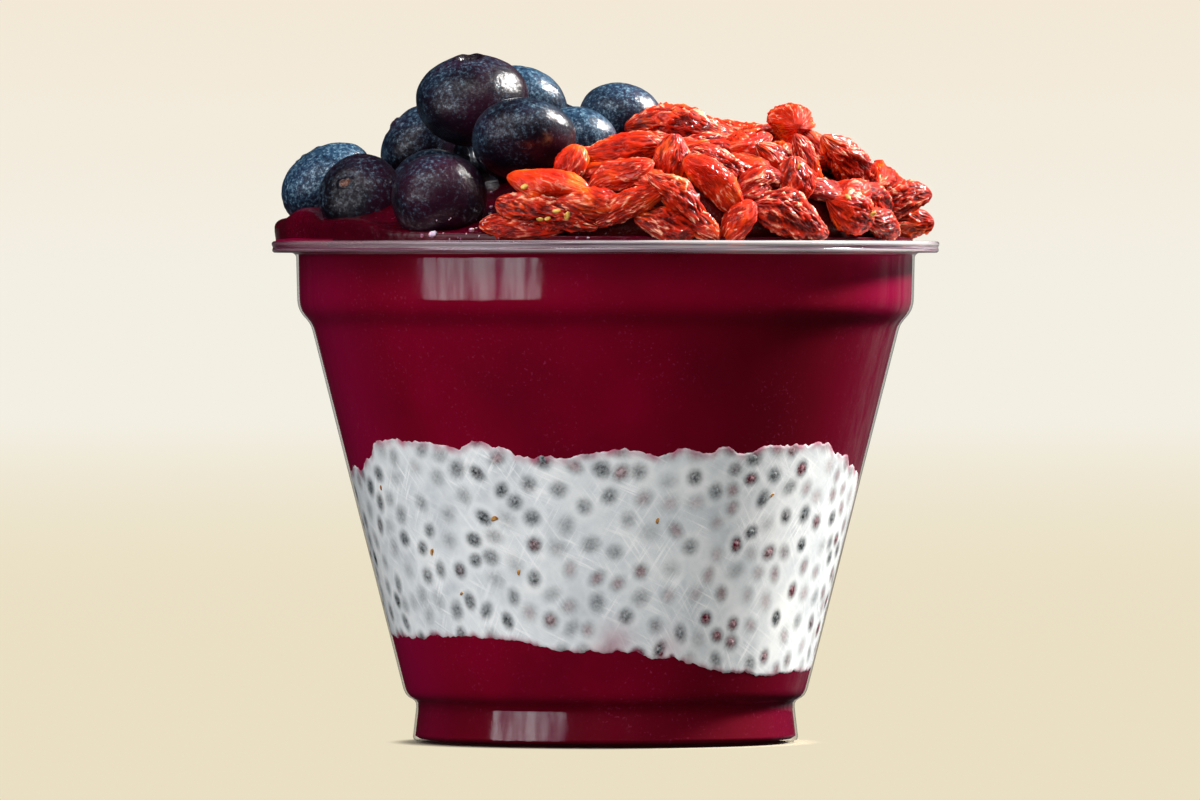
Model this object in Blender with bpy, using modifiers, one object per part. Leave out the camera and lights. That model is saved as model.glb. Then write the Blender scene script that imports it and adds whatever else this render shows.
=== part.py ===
"""A clear plastic dessert cup of layered acai and chia pudding, heaped with blueberries and goji berries.

Metres, +Z up. The origin is the middle of the foot's underside, and the cup's front faces -Y.
The cup, each layer of its filling and each blueberry is a solid; the goji heap is one solid.
"""

import math
import random

import bmesh
import bpy
from mathutils import Euler, Matrix, Vector

# Driving sizes of the cup.
RIM_RADIUS = 0.0490
RIM_TOP = 0.0733
RIM_THICKNESS = 0.0017
RIM_EDGE_RADIUS = 0.0005
BAND_RADIUS = 0.04535
SHOULDER_RADIUS = 0.0452
SHOULDER_Z = 0.0642
BODY_TOP_RADIUS = 0.0431
BODY_TOP_Z = 0.0607
BODY_BOTTOM_RADIUS = 0.0296
BODY_BOTTOM_Z = 0.0076
STEP_Z = 0.0062
FOOT_TOP_RADIUS = 0.0276
FOOT_RADIUS = 0.02825
FOOT_CORNER = 0.0006
FOOT_RING_WIDTH = 0.0028
WALL = 0.0006
RECESS = 0.0009
FLOOR_TOP = 0.0017

# Gap that pieces keep where they touch, and the number of facets round the cup.
GAP = 0.0003
FACETS = 40
SAME_LEVEL = 0.00002
MERGE = 0.00001

# Each seam's height at the wall, as (degrees round from the front towards +X, height).
CHIA_TOP_SEAM = (
    (-180, 0.0425), (-145, 0.0436), (-112, 0.0420), (-90, 0.0400), (-67, 0.0413), (-56, 0.0449),
    (-45, 0.0447), (-37, 0.0434), (-27, 0.0442), (-15, 0.0425), (6, 0.0433), (36, 0.0434),
    (56, 0.0445), (68, 0.0424), (90, 0.0380), (120, 0.0415), (150, 0.0438), (180, 0.0425),
)
CHIA_BOTTOM_SEAM = (
    (-180, 0.0128), (-130, 0.0140), (-90, 0.0149), (-38, 0.0154), (-25, 0.0147), (-8, 0.0135),
    (8, 0.0133), (18, 0.0125), (30, 0.0107), (48, 0.0098), (90, 0.0101), (135, 0.0112), (180, 0.0128),
)
CHIA_TOP_LEVEL = 0.0430
CHIA_BOTTOM_LEVEL = 0.0126
SEAM_SHARES = (0.6, 0.93)

# The acai mound above the rim, and the lip that has slid over the rim on the left.
MOUND_RISE = 0.0105
MOUND_SHARES = (0.34, 0.62, 0.84)
MOUND_EDGE_LIFT = 0.0005
MOUND_POWER = 1.5
LIP_CLEARANCE = 0.0003
LIP_REACH = 0.0028
LIP_RISE = 0.0030
LIP_EDGE_SHARE = 0.7
LIP_REST = 0.0004
LIP_MARGIN = 0.0008
LIP_ANGLE = -90.0
LIP_SPREAD = 52.0
LUMP_HEIGHT = 0.0004

# Blueberries: centre, diameter, height over diameter, and the crown's compass angle and elevation.
# The first ten are those in view, and the others fill the far side.
BLUEBERRIES = (
    (-0.0193, -0.0162, 0.0938, 0.0166, 0.79, 250, 76),
    (-0.0406, -0.0062, 0.0816, 0.0146, 0.76, 172, 58),
    (-0.0357, -0.0213, 0.0799, 0.0124, 0.77, 63, -22),
    (-0.0240, -0.0339, 0.0795, 0.0140, 0.89, 120, 68),
    (-0.0118, -0.0288, 0.0880, 0.0152, 0.76, 80, 70),
    (-0.0273, -0.0034, 0.0876, 0.0128, 0.75, 10, -40),
    (-0.0249, -0.0157, 0.0812, 0.0124, 0.84, 90, 60),
    (-0.0120, 0.0053, 0.0931, 0.0136, 0.80, 45, 50),
    (-0.0041, -0.0139, 0.0875, 0.0122, 0.84, 60, 62),
    (0.0023, 0.0009, 0.0908, 0.0130, 0.84, 60, 60),
    (-0.0133, -0.0054, 0.0868, 0.0122, 0.84, 10, 70),
    (-0.0398, 0.0081, 0.0813, 0.0132, 0.84, 180, 60),
    (-0.0346, 0.0216, 0.0797, 0.0128, 0.83, 120, 70),
    (-0.0203, 0.0354, 0.0811, 0.0128, 0.85, 100, -65),
    (-0.0037, 0.0403, 0.0812, 0.0134, 0.82, 80, 70),
    (-0.0222, 0.0230, 0.0838, 0.0126, 0.84, 220, 70),
    (-0.0071, 0.0168, 0.0883, 0.0130, 0.82, 300, 65),
    (-0.0265, 0.0097, 0.0853, 0.0132, 0.83, 60, 75),
    (0.0040, 0.0286, 0.0852, 0.0138, 0.81, 20, 68),
    (0.0053, 0.0143, 0.0886, 0.0118, 0.84, 140, 65),
    (-0.0096, 0.0288, 0.0844, 0.0129, 0.83, 250, 72),
    (-0.0196, 0.0164, 0.0933, 0.0126, 0.82, 300, 76),
)
BERRY_FACETS = 12
BERRY_LATITUDES = (66, 36, 0, -36, -68)
CROWN_RADIUS = 0.24
CROWN_LIFT = 0.03
DIMPLE_DEPTH = 0.10

# The goji heap lies right of a line across the mound. Its surface runs through the pieces' centres.
HEAP_FOOT_Z = 0.0750
HEAP_RISE = 0.0140
HEAP_RADIUS = 0.0480
HEAP_POWER = 4
HEAP_ROUNDING = 0.8
HEAP_REACH = 0.0450
CORE_DEPTH = 0.0013
CORE_RADIUS = 0.0442
CORE_SHARES = (0.4, 0.7, 0.88)
CORE_FACETS = 30
HEAP_LINE = ((-0.0165, -0.0480), (-0.0080, -0.0300), (0.0085, 0.0040), (0.0050, 0.0480))
CORE_LINE_MARGIN = 0.0015
SIDE_STEEPNESS = 2.2
SIDE_HEIGHT = 0.02

# Goji pieces in view: centre, length, width, and the long axis's compass angle and elevation.
GOJI_PIECES = (
    (0.0106, -0.0100, 0.0898, 0.0158, 0.0060, 4, -4), (0.0195, 0.0010, 0.0893, 0.0112, 0.0042, 10, -14),
    (0.0269, -0.0080, 0.0903, 0.0120, 0.0068, -80, 2), (0.0028, -0.0335, 0.0864, 0.0116, 0.0048, 4, 8),
    (0.0022, -0.0410, 0.0826, 0.0106, 0.0048, 2, 25), (-0.0050, -0.0372, 0.0851, 0.0085, 0.0042, -6, 74),
    (-0.0082, -0.0424, 0.0810, 0.0128, 0.0054, -9, -12), (-0.0084, -0.0442, 0.0772, 0.0155, 0.0050, -8, -13),
    (-0.0122, -0.0433, 0.0754, 0.0128, 0.0038, -14, -4), (0.0031, -0.0449, 0.0782, 0.0124, 0.0040, 3, 24),
    (0.0104, -0.0438, 0.0792, 0.0116, 0.0042, 11, -42), (0.0087, -0.0441, 0.0756, 0.0095, 0.0044, 10, -12),
    (0.0097, -0.0365, 0.0845, 0.0086, 0.0046, 12, 84), (0.0164, -0.0397, 0.0811, 0.0130, 0.0046, 18, -41),
    (0.0180, -0.0353, 0.0835, 0.0130, 0.0046, 22, -26), (0.0205, -0.0254, 0.0866, 0.0105, 0.0042, 31, 21),
    (0.0252, -0.0273, 0.0848, 0.0096, 0.0040, 34, -33), (0.0271, -0.0329, 0.0814, 0.0084, 0.0054, 32, 83),
    (0.0295, -0.0254, 0.0839, 0.0110, 0.0036, 39, -58), (0.0356, -0.0156, 0.0839, 0.0138, 0.0062, 40, -45),
    (0.0266, -0.0364, 0.0766, 0.0144, 0.0056, 29, -17), (0.0356, -0.0284, 0.0776, 0.0095, 0.0054, 41, -22),
    (0.0434, -0.0082, 0.0795, 0.0100, 0.0042, 20, 8), (0.0402, -0.0198, 0.0756, 0.0105, 0.0042, 61, -12),
    (0.0446, -0.0040, 0.0755, 0.0076, 0.0042, 17, 10), (0.0192, -0.0406, 0.0755, 0.0080, 0.0040, 20, 58),
    (0.0138, -0.0427, 0.0753, 0.0074, 0.0038, 14, -45), (0.0307, -0.0078, 0.0868, 0.0090, 0.0040, 45, -40),
)
GOJI_FILL_COUNT = 46
GOJI_FILL_LENGTHS = (0.0100, 0.0140)
GOJI_FILL_SPACING = 0.0055
GOJI_SEED = 11
GOJI_WIDTH_SHARE = 0.40
GOJI_THICKNESS_SHARE = 0.86
GOJI_RIDGE = 0.14
GOJI_BEND = 0.12
GOJI_SIDES = 6
GOJI_RINGS = 5

# Colours, as linear RGB.
CLEAR = (0.90, 0.92, 0.94)
ACAI = (0.105, 0.002, 0.016)
CHIA = (0.60, 0.61, 0.62)
BLUEBERRY = (0.020, 0.024, 0.060)
GOJI = (0.55, 0.035, 0.008)


def clear_scene():
    for obj in list(bpy.data.objects):
        bpy.data.objects.remove(obj, do_unlink=True)


def new_collection(name):
    group = bpy.data.collections.new(name)
    bpy.context.scene.collection.children.link(group)
    return group


def new_material(name, colour, roughness, transmission=0.0):
    material = bpy.data.materials.new(name)
    material.use_nodes = True
    shader = material.node_tree.nodes["Principled BSDF"]
    shader.inputs["Base Color"].default_value = (*colour, 1.0)
    shader.inputs["Roughness"].default_value = roughness
    shader.inputs["Metallic"].default_value = 0.0
    shader.inputs["Transmission Weight"].default_value = transmission
    return material


def new_object(name, mesh, group, material):
    obj = bpy.data.objects.new(name, mesh)
    group.objects.link(obj)
    mesh.materials.clear()
    mesh.materials.append(material)
    return obj


def baked(obj):
    """The object again, as the plain mesh that its modifiers make."""
    bpy.context.view_layer.update()
    graph = bpy.context.evaluated_depsgraph_get()
    mesh = bpy.data.meshes.new_from_object(obj.evaluated_get(graph))
    for modifier in list(obj.modifiers):
        obj.modifiers.remove(modifier)
    obj.data = mesh
    return obj


def hide_as_helper(obj):
    obj.hide_render = True
    obj.display_type = "WIRE"


def keep_main_body(mesh):
    """Keeps the largest closed surface, which drops loose scraps and fills sealed hollows."""
    shape = bmesh.new()
    shape.from_mesh(mesh)
    left = set(shape.verts)
    islands = []
    while left:
        island = set()
        front = [left.pop()]
        while front:
            vert = front.pop()
            island.add(vert)
            for edge in vert.link_edges:
                other = edge.other_vert(vert)
                if other in left:
                    left.discard(other)
                    front.append(other)
        islands.append(island)
    largest = max(islands, key=len)
    scraps = [vert for island in islands if island is not largest for vert in island]
    bmesh.ops.delete(shape, geom=scraps, context="VERTS")
    shape.to_mesh(mesh)
    shape.free()


def shade(mesh, angle):
    mesh.shade_smooth()
    mesh.set_sharp_from_angle(angle=math.radians(angle))


def arc(centre, radius, start, end, steps):
    """Points on an arc in the (radius, height) plane, angles in degrees from outwards."""
    turns = [math.radians(start + (end - start) * i / steps) for i in range(steps + 1)]
    return [(centre[0] + radius * math.cos(t), centre[1] + radius * math.sin(t)) for t in turns]


def turned(name, outline, facets, group, material):
    """A solid turned about Z from an outline that goes down its outer side."""
    mesh = bpy.data.meshes.new(name)
    edges = [(i, i + 1) for i in range(len(outline) - 1)]
    mesh.from_pydata([(radius, 0.0, height) for radius, height in outline], edges, [])
    obj = new_object(name, mesh, group, material)
    screw = obj.modifiers.new("Turn", "SCREW")
    screw.axis = "Z"
    screw.steps = facets
    screw.render_steps = facets
    screw.use_merge_vertices = True
    screw.merge_threshold = MERGE
    screw.use_smooth_shade = True
    return obj


def outside_line():
    """The cup's outside from the foot's corner up to the band's top, as (radius, height)."""
    body_corner = BODY_BOTTOM_Z - STEP_Z
    corner_centre = (BODY_BOTTOM_RADIUS - body_corner, BODY_BOTTOM_Z)
    return [
        (FOOT_RADIUS, FOOT_CORNER),
        (FOOT_TOP_RADIUS, STEP_Z),
        *arc(corner_centre, body_corner, -75, -15, 1),
        (BODY_TOP_RADIUS, BODY_TOP_Z),
        (SHOULDER_RADIUS - 0.0009, SHOULDER_Z - 0.0021),
        (SHOULDER_RADIUS, SHOULDER_Z),
        (BAND_RADIUS, RIM_TOP - RIM_THICKNESS - 0.0009),
    ]


def inset_line(distance):
    """The outside line moved inwards by a distance, with mitred corners, and carried up to the rim's top."""
    line = [*outside_line(), (BAND_RADIUS, RIM_TOP)]
    points = [Vector(point) for point in line]
    normals = []
    for first, second in zip(points, points[1:]):
        along = (second - first).normalized()
        normals.append(Vector((-along.y, along.x)))
    moved = []
    for i, point in enumerate(points):
        before = normals[max(i - 1, 0)]
        after = normals[min(i, len(normals) - 1)]
        moved.append(point + distance * (before + after) / (1 + before.dot(after)))
    return [(point.x, point.y) for point in moved]


def radius_at(line, height):
    """The line's radius at a height."""
    for (low_radius, low), (high_radius, high) in zip(line, line[1:]):
        if low <= height <= high:
            return low_radius + (high_radius - low_radius) * (height - low) / (high - low)
    return line[0][0] if height < line[0][1] else line[-1][0]


def part_of_line(line, low, high):
    """The stretch of a rising line between two heights."""
    middle = [point for point in line if low + SAME_LEVEL < point[1] < high - SAME_LEVEL]
    return [(radius_at(line, low), low), *middle, (radius_at(line, high), high)]


def make_cup(group):
    inside = part_of_line(inset_line(WALL), FLOOR_TOP, RIM_TOP - RIM_EDGE_RADIUS)
    edge = RIM_EDGE_RADIUS
    bottom = RIM_TOP - RIM_THICKNESS
    rim = [
        *arc((inside[-1][0] + edge, RIM_TOP - edge), edge, 135, 90, 1),
        *arc((RIM_RADIUS - edge, RIM_TOP - edge), edge, 90, 0, 2),
        *arc((RIM_RADIUS - edge, bottom + edge), edge, 0, -90, 2),
        (BAND_RADIUS + 0.0009, bottom),
    ]
    foot = [
        (FOOT_RADIUS - FOOT_CORNER, 0.0),
        (FOOT_RADIUS - FOOT_CORNER - FOOT_RING_WIDTH, 0.0),
        (FOOT_RADIUS - FOOT_CORNER - FOOT_RING_WIDTH - RECESS, RECESS),
        (0.0, RECESS),
    ]
    outline = [(0.0, FLOOR_TOP), *inside, *rim, *reversed(outside_line()), *foot]
    cup = turned("cup", outline, FACETS, group, new_material("clear_pet", CLEAR, 0.06, 0.9))
    cup.data.materials[0].node_tree.nodes["Principled BSDF"].inputs["IOR"].default_value = 1.57
    return cup


def front_angle(x, y):
    """Degrees round from the front, positive towards +X."""
    return math.degrees(math.atan2(x, -y))


def seam_height(seam, angle):
    """The seam's height at an angle, eased between its keys."""
    for (start, low), (end, high) in zip(seam, seam[1:]):
        if start <= angle <= end:
            share = (angle - start) / (end - start)
            return low + (high - low) * (1 - math.cos(math.pi * share)) / 2
    return seam[-1][1]


def bend_to_seam(obj, line, seam, level):
    """Moves the flat rings at a level onto the wavy seam, keeping their share of the wall's radius."""
    for vert in obj.data.vertices:
        if abs(vert.co.z - level) > SAME_LEVEL:
            continue
        share = math.hypot(vert.co.x, vert.co.y) / radius_at(line, level)
        rise = (seam_height(seam, front_angle(vert.co.x, vert.co.y)) - level) * share**2
        widening = radius_at(line, level + rise) / radius_at(line, level)
        vert.co = Vector((vert.co.x * widening, vert.co.y * widening, level + rise))


def split_bent_faces(mesh):
    """Splits each face along its shorter diagonal, so that two faces a gap apart bend alike."""
    shape = bmesh.new()
    shape.from_mesh(mesh)
    bmesh.ops.triangulate(shape, faces=shape.faces, quad_method="SHORT_EDGE")
    shape.to_mesh(mesh)
    shape.free()


def seam_rings(line, level):
    """Points across a flat layer face, from the axis out to just short of the wall."""
    return [(0.0, level)] + [(share * radius_at(line, level), level) for share in SEAM_SHARES]


def make_layer(name, top, bottom, seams, group, material):
    """A turned layer of filling between two levels, its faces then bent to their seams."""
    line = inset_line(WALL + GAP)
    side = part_of_line(line, bottom, top)
    upper = seam_rings(line, top) if seams[0] else [(0.0, top)]
    lower = seam_rings(line, bottom) if seams[1] else [(0.0, bottom)]
    outline = [*upper, *reversed(side), *reversed(lower)]
    layer = baked(turned(name, outline, FACETS, group, material))
    if seams[0]:
        bend_to_seam(layer, line, seams[0], top)
    if seams[1]:
        bend_to_seam(layer, line, seams[1], bottom)
    split_bent_faces(layer.data)
    shade(layer.data, 40)
    return layer


def lip_share(x, y):
    """How far the acai has slid over the rim here, from 0 to 1."""
    turn = (front_angle(x, y) - LIP_ANGLE + 180) % 360 - 180
    return math.exp(-((turn / LIP_SPREAD) ** 2))


def mound_top(x, y):
    """Height of the acai mound's surface."""
    share = math.hypot(x, y) / (BAND_RADIUS - WALL)
    dome = RIM_TOP + MOUND_EDGE_LIFT + MOUND_RISE * max(0.0, 1 - share**2) ** MOUND_POWER
    lumps = math.sin(x / 0.0052 + 0.7) * math.cos(y / 0.0061) + 0.6 * math.sin((x - y) / 0.0037)
    lip = LIP_RISE * lip_share(x, y) * share**6
    return dome + lip + LUMP_HEIGHT * lumps * max(0.0, 1 - share**4)


def make_mound(group, material):
    """The upper acai: up the wall from the chia, over the rim and into a low mound."""
    line = inset_line(WALL + GAP)
    edge = line[-1][0]
    rest = RIM_TOP + LIP_CLEARANCE
    side = part_of_line(line, CHIA_TOP_LEVEL + GAP, rest)
    dome = [(share * edge, mound_top(share * edge, 0.0)) for share in (0, *MOUND_SHARES, 1)]
    lip = [(edge + LIP_REST, rest + MOUND_EDGE_LIFT / 2), (edge + LIP_REST, rest)]
    lower = seam_rings(line, CHIA_TOP_LEVEL + GAP)
    outline = [*dome, *lip, *reversed(side), *reversed(lower)]
    mound = baked(turned("acai_top", outline, FACETS, group, material))
    bend_to_seam(mound, line, [(a, z + GAP) for a, z in CHIA_TOP_SEAM], CHIA_TOP_LEVEL + GAP)
    for vert in mound.data.vertices:
        radius = math.hypot(vert.co.x, vert.co.y)
        if radius > edge + LIP_REST / 2 and vert.co.z > rest - SAME_LEVEL:
            reach = 1 + LIP_REACH * lip_share(vert.co.x, vert.co.y) / radius
            if vert.co.z > rest + SAME_LEVEL:
                vert.co.z += LIP_EDGE_SHARE * LIP_RISE * lip_share(vert.co.x, vert.co.y)
            vert.co.x *= reach
            vert.co.y *= reach
        elif vert.co.z > rest + SAME_LEVEL:
            vert.co.z = mound_top(vert.co.x, vert.co.y)
    split_bent_faces(mound.data)
    shade(mound.data, 40)
    return mound


def berry_outline(radius, height):
    """A blueberry's profile from the middle of its crown down to its stem end."""
    half = height / 2
    crown = CROWN_RADIUS * radius
    points = [(0.0, half - DIMPLE_DEPTH * radius), (crown, half + CROWN_LIFT * radius)]
    for latitude in BERRY_LATITUDES:
        turn = math.radians(latitude)
        points.append((radius * math.cos(turn), half * math.sin(turn)))
    return [*points, (0.0, -half)]


def berry_matrix(row):
    """A blueberry's place, with its crown turned to its compass angle and elevation."""
    compass, elevation = math.radians(row[5]), math.radians(row[6])
    flat = math.cos(elevation)
    crown = Vector((flat * math.cos(compass), flat * math.sin(compass), math.sin(elevation)))
    return Matrix.Translation(row[:3]) @ crown.to_track_quat("Z", "Y").to_matrix().to_4x4()


def make_blueberry(number, row, group, material):
    outline = berry_outline(row[3] / 2, row[3] * row[4])
    berry = turned(f"blueberry_{number:02d}", outline, BERRY_FACETS, group, material)
    berry.matrix_world = berry_matrix(row)
    return berry


def make_berry_socket(row, group, material):
    """A berry one gap larger all round, which cuts the hollow that the berry sits in."""
    outline = berry_outline(row[3] / 2 + GAP, row[3] * row[4] + 2 * GAP)
    socket = turned("socket", outline, BERRY_FACETS, group, material)
    socket.matrix_world = berry_matrix(row)
    baked(socket)
    hide_as_helper(socket)
    return socket


def crest_height(radius):
    """Height of the goji heap's surface away from its left side, through the pieces' centres."""
    share = min(1.0, radius / HEAP_RADIUS)
    return HEAP_FOOT_Z + HEAP_RISE * (1 - share**HEAP_POWER) ** HEAP_ROUNDING


def heap_height(x, y):
    """Height of the heap's surface with its left side sloping down to the line."""
    side = HEAP_FOOT_Z + SIDE_STEEPNESS * max(0.0, past_heap_line(x, y))
    return min(crest_height(math.hypot(x, y)), side)


def past_heap_line(x, y):
    """How far a point lies right of the line that parts the gojis from the blueberries."""
    for (start_x, start), (end_x, end) in zip(HEAP_LINE, HEAP_LINE[1:]):
        if start <= y <= end:
            return x - start_x - (end_x - start_x) * (y - start) / (end - start)
    return x - (HEAP_LINE[0] if y < HEAP_LINE[0][1] else HEAP_LINE[-1])[0]


def heap_normal(x, y):
    """The heap's outward direction at a place."""
    step = 0.0005
    fall_x = (heap_height(x - step, y) - heap_height(x + step, y)) / (2 * step)
    fall_y = (heap_height(x, y - step) - heap_height(x, y + step)) / (2 * step)
    return Vector((fall_x, fall_y, 1)).normalized()


def goji_matrix(row):
    """A goji's place, its long axis along the row's direction and its flat side along the heap."""
    compass, elevation = math.radians(row[5]), math.radians(row[6])
    flat = math.cos(elevation)
    along = Vector((flat * math.cos(compass), flat * math.sin(compass), math.sin(elevation)))
    across = heap_normal(row[0], row[1]).cross(along).normalized()
    frame = Matrix((along, across, along.cross(across))).transposed().to_4x4()
    return Matrix.Translation(row[:3]) @ frame


def goji_rows():
    """The pieces in view, then seeded ones that lie along the surface wherever the heap is still bare."""
    rows = list(GOJI_PIECES)
    draw = random.Random(GOJI_SEED)
    for _ in range(6000):
        radius = HEAP_REACH * math.sqrt(draw.random())
        turn = draw.uniform(-math.pi, math.pi)
        x, y = radius * math.cos(turn), radius * math.sin(turn)
        length = draw.uniform(*GOJI_FILL_LENGTHS)
        compass = math.degrees(turn) + 90 + draw.uniform(-70, 70) * (1 - radius / HEAP_RADIUS)
        normal = heap_normal(x, y)
        run = normal.x * math.cos(math.radians(compass)) + normal.y * math.sin(math.radians(compass))
        elevation = math.degrees(math.atan2(-run, normal.z)) + draw.uniform(-8, 8)
        height = heap_height(x, y) + draw.uniform(-0.0006, 0.0008)
        row = (x, y, height, length, length * GOJI_WIDTH_SHARE, compass, elevation)
        near = min((Vector(row[:3]) - Vector(other[:3])).length for other in rows)
        if near > GOJI_FILL_SPACING and past_heap_line(x, y) > length * 0.35 and clears_neighbours(row):
            rows.append(row)
        if len(rows) == len(GOJI_PIECES) + GOJI_FILL_COUNT:
            break
    return rows


def goji_points(row):
    """Points along a goji's long axis."""
    frame = goji_matrix(row)
    return [frame @ Vector((share * row[3], 0, 0)) for share in (-0.4, -0.2, 0, 0.2, 0.4)]


def clears_neighbours(row):
    """True if a goji stays clear of the blueberries and inside the rim's edge."""
    for point in goji_points(row):
        if math.hypot(point.x, point.y) + row[4] / 2 > RIM_RADIUS:
            return False
        for berry in BLUEBERRIES:
            if (point - Vector(berry[:3])).length < berry[3] / 2 + row[4] / 2:
                return False
    return True


def make_goji(row, group, material):
    """One dried goji: a flattened spindle with ridges along it and a slight bend."""
    length, width = row[3], row[4]
    mesh = bpy.data.meshes.new("goji_piece")
    shape = bmesh.new()
    bmesh.ops.create_uvsphere(shape, u_segments=GOJI_SIDES, v_segments=GOJI_RINGS, radius=0.5)
    for vert in shape.verts:
        turn = math.atan2(vert.co.y, vert.co.x)
        fold = 1 - GOJI_RIDGE * (0.5 + 0.5 * math.cos(turn * GOJI_SIDES / 2))
        along = vert.co.z
        bow = GOJI_BEND * length * (0.12 - along * along)
        thick = vert.co.x * width * GOJI_THICKNESS_SHARE * fold
        vert.co = Vector((along * length, vert.co.y * width * fold, thick + bow))
    bmesh.ops.recalc_face_normals(shape, faces=shape.faces)
    shape.to_mesh(mesh)
    shape.free()
    piece = new_object("goji_piece", mesh, group, material)
    piece.matrix_world = goji_matrix(row)
    return piece


def boolean(obj, operation, other=None, group=None):
    cut = obj.modifiers.new(operation.title(), "BOOLEAN")
    cut.operation = operation
    cut.solver = "EXACT"
    if group:
        cut.operand_type = "COLLECTION"
        cut.collection = group
    else:
        cut.object = other


def make_heap(parts, helpers, material):
    """The goji heap: a low core over the mound, with the gojis fused onto it."""
    floor = RIM_TOP + GAP
    radii = [share * CORE_RADIUS for share in (0, *CORE_SHARES, 1)]
    cap = [(radius, crest_height(radius) - CORE_DEPTH) for radius in radii]
    outline = [*cap, (CORE_RADIUS, floor), (0.0, floor)]
    core = baked(turned("goji_berries", outline, CORE_FACETS, parts, material))
    boolean(core, "INTERSECT", other=make_side_cutter(helpers, material))
    baked(core)
    pieces = new_collection("gojis")
    for row in goji_rows():
        make_goji(row, pieces, material)
    boolean(core, "UNION", group=pieces)
    baked(core)
    for piece in list(pieces.objects):
        bpy.data.objects.remove(piece)
    bpy.data.collections.remove(pieces)
    boolean(core, "DIFFERENCE", other=make_clearance(helpers, material))
    baked(core)
    for row in BLUEBERRIES:
        if past_heap_line(row[0], row[1]) > -row[3]:
            boolean(core, "DIFFERENCE", other=make_berry_socket(row, helpers, material))
            baked(core)
    keep_main_body(core.data)
    shade(core.data, 30)
    return core


def make_side_cutter(helpers, material):
    """A block whose left face leans away from the line between gojis and blueberries."""
    corners = [(x + CORE_LINE_MARGIN, y) for x, y in HEAP_LINE]
    corners += [(2 * HEAP_RADIUS, corners[-1][1]), (2 * HEAP_RADIUS, corners[0][1])]
    shape = bmesh.new()
    face = shape.faces.new([shape.verts.new((x, y, RIM_TOP)) for x, y in corners])
    grown = bmesh.ops.extrude_face_region(shape, geom=[face])["geom"]
    top = [vert for vert in grown if isinstance(vert, bmesh.types.BMVert)]
    bmesh.ops.translate(shape, verts=top, vec=(SIDE_HEIGHT / SIDE_STEEPNESS, 0, SIDE_HEIGHT))
    bmesh.ops.recalc_face_normals(shape, faces=shape.faces)
    mesh = bpy.data.meshes.new("side_cutter")
    shape.to_mesh(mesh)
    shape.free()
    block = new_object("side_cutter", mesh, helpers, material)
    hide_as_helper(block)
    return block


def make_clearance(helpers, material):
    """The mound's dome and the rim raised by the gap, which trims the heap's underside."""
    edge = inset_line(WALL + GAP)[-1][0]
    dome = [(share * edge, mound_top(share * edge, 0.0)) for share in (0, *MOUND_SHARES, 1)]
    floor = RIM_TOP + GAP
    edge += LIP_REST + LIP_MARGIN
    lip = [(edge, RIM_TOP + MOUND_EDGE_LIFT), (edge, floor), (1.2 * RIM_RADIUS, floor)]
    outline = [*dome, *lip, (1.2 * RIM_RADIUS, BODY_TOP_Z), (0.0, BODY_TOP_Z)]
    cutter = baked(turned("mound_clearance", outline, FACETS, helpers, material))
    for vert in cutter.data.vertices:
        if vert.co.z > floor + SAME_LEVEL:
            vert.co.z = mound_top(vert.co.x, vert.co.y) + GAP
    split_bent_faces(cutter.data)
    hide_as_helper(cutter)
    return cutter


def main():
    clear_scene()
    parts = new_collection("acai_bowl")
    helpers = new_collection("helpers")
    helper_material = new_material("helper", CLEAR, 0.5)
    acai = new_material("acai", ACAI, 0.38)
    chia = new_material("chia_pudding", CHIA, 0.35)
    berry_skin = new_material("blueberry_skin", BLUEBERRY, 0.42)
    goji = new_material("dried_goji", GOJI, 0.36)

    make_cup(parts)
    base_top = CHIA_BOTTOM_LEVEL - GAP
    base_seam = [(angle, height - GAP) for angle, height in CHIA_BOTTOM_SEAM]
    make_layer("acai_base", base_top, FLOOR_TOP + GAP, (base_seam, None), parts, acai)
    chia_seams = (CHIA_TOP_SEAM, CHIA_BOTTOM_SEAM)
    make_layer("chia_pudding", CHIA_TOP_LEVEL, CHIA_BOTTOM_LEVEL, chia_seams, parts, chia)
    mound = make_mound(parts, acai)

    for number, row in enumerate(BLUEBERRIES, 1):
        make_blueberry(number, row, parts, berry_skin)
        if row[2] - row[3] / 2 < mound_top(row[0], row[1]):
            boolean(mound, "DIFFERENCE", other=make_berry_socket(row, helpers, helper_material))
            baked(mound)
    keep_main_body(mound.data)
    make_heap(parts, helpers, goji)


main()
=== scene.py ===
# %% [markdown]
# # A cup of acai, chia pudding, blueberries and goji berries
# This lesson dresses a plain solid model of a dessert cup so that it looks good enough to eat.
# The solid model comes first, and everything is placed in its frame: metres, +Z up, and the cup's
# front towards -Y. Each food is then made at its real size and laid over the solid that holds its place.

# %% Load the solid model
import math
import random

import bmesh
import bpy
import numpy as np
from mathutils import Matrix, Vector, noise
from mathutils.bvhtree import BVHTree


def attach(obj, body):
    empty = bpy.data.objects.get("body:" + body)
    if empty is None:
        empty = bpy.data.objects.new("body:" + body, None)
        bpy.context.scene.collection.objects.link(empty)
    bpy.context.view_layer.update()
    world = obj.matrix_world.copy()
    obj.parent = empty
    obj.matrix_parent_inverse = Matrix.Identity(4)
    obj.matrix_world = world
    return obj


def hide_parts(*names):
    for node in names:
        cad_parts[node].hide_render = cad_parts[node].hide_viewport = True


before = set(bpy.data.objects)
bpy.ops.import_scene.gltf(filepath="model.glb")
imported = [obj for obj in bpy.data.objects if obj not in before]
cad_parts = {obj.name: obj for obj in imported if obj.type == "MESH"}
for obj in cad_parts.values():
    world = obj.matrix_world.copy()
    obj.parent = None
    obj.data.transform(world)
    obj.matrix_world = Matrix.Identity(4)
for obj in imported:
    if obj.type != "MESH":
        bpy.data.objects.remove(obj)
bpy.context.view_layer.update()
MM = 0.001
noise.seed_set(7)  # Without a seed, noise_vector takes its offsets from the clock.
print("solids:", len(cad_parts))

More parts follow.
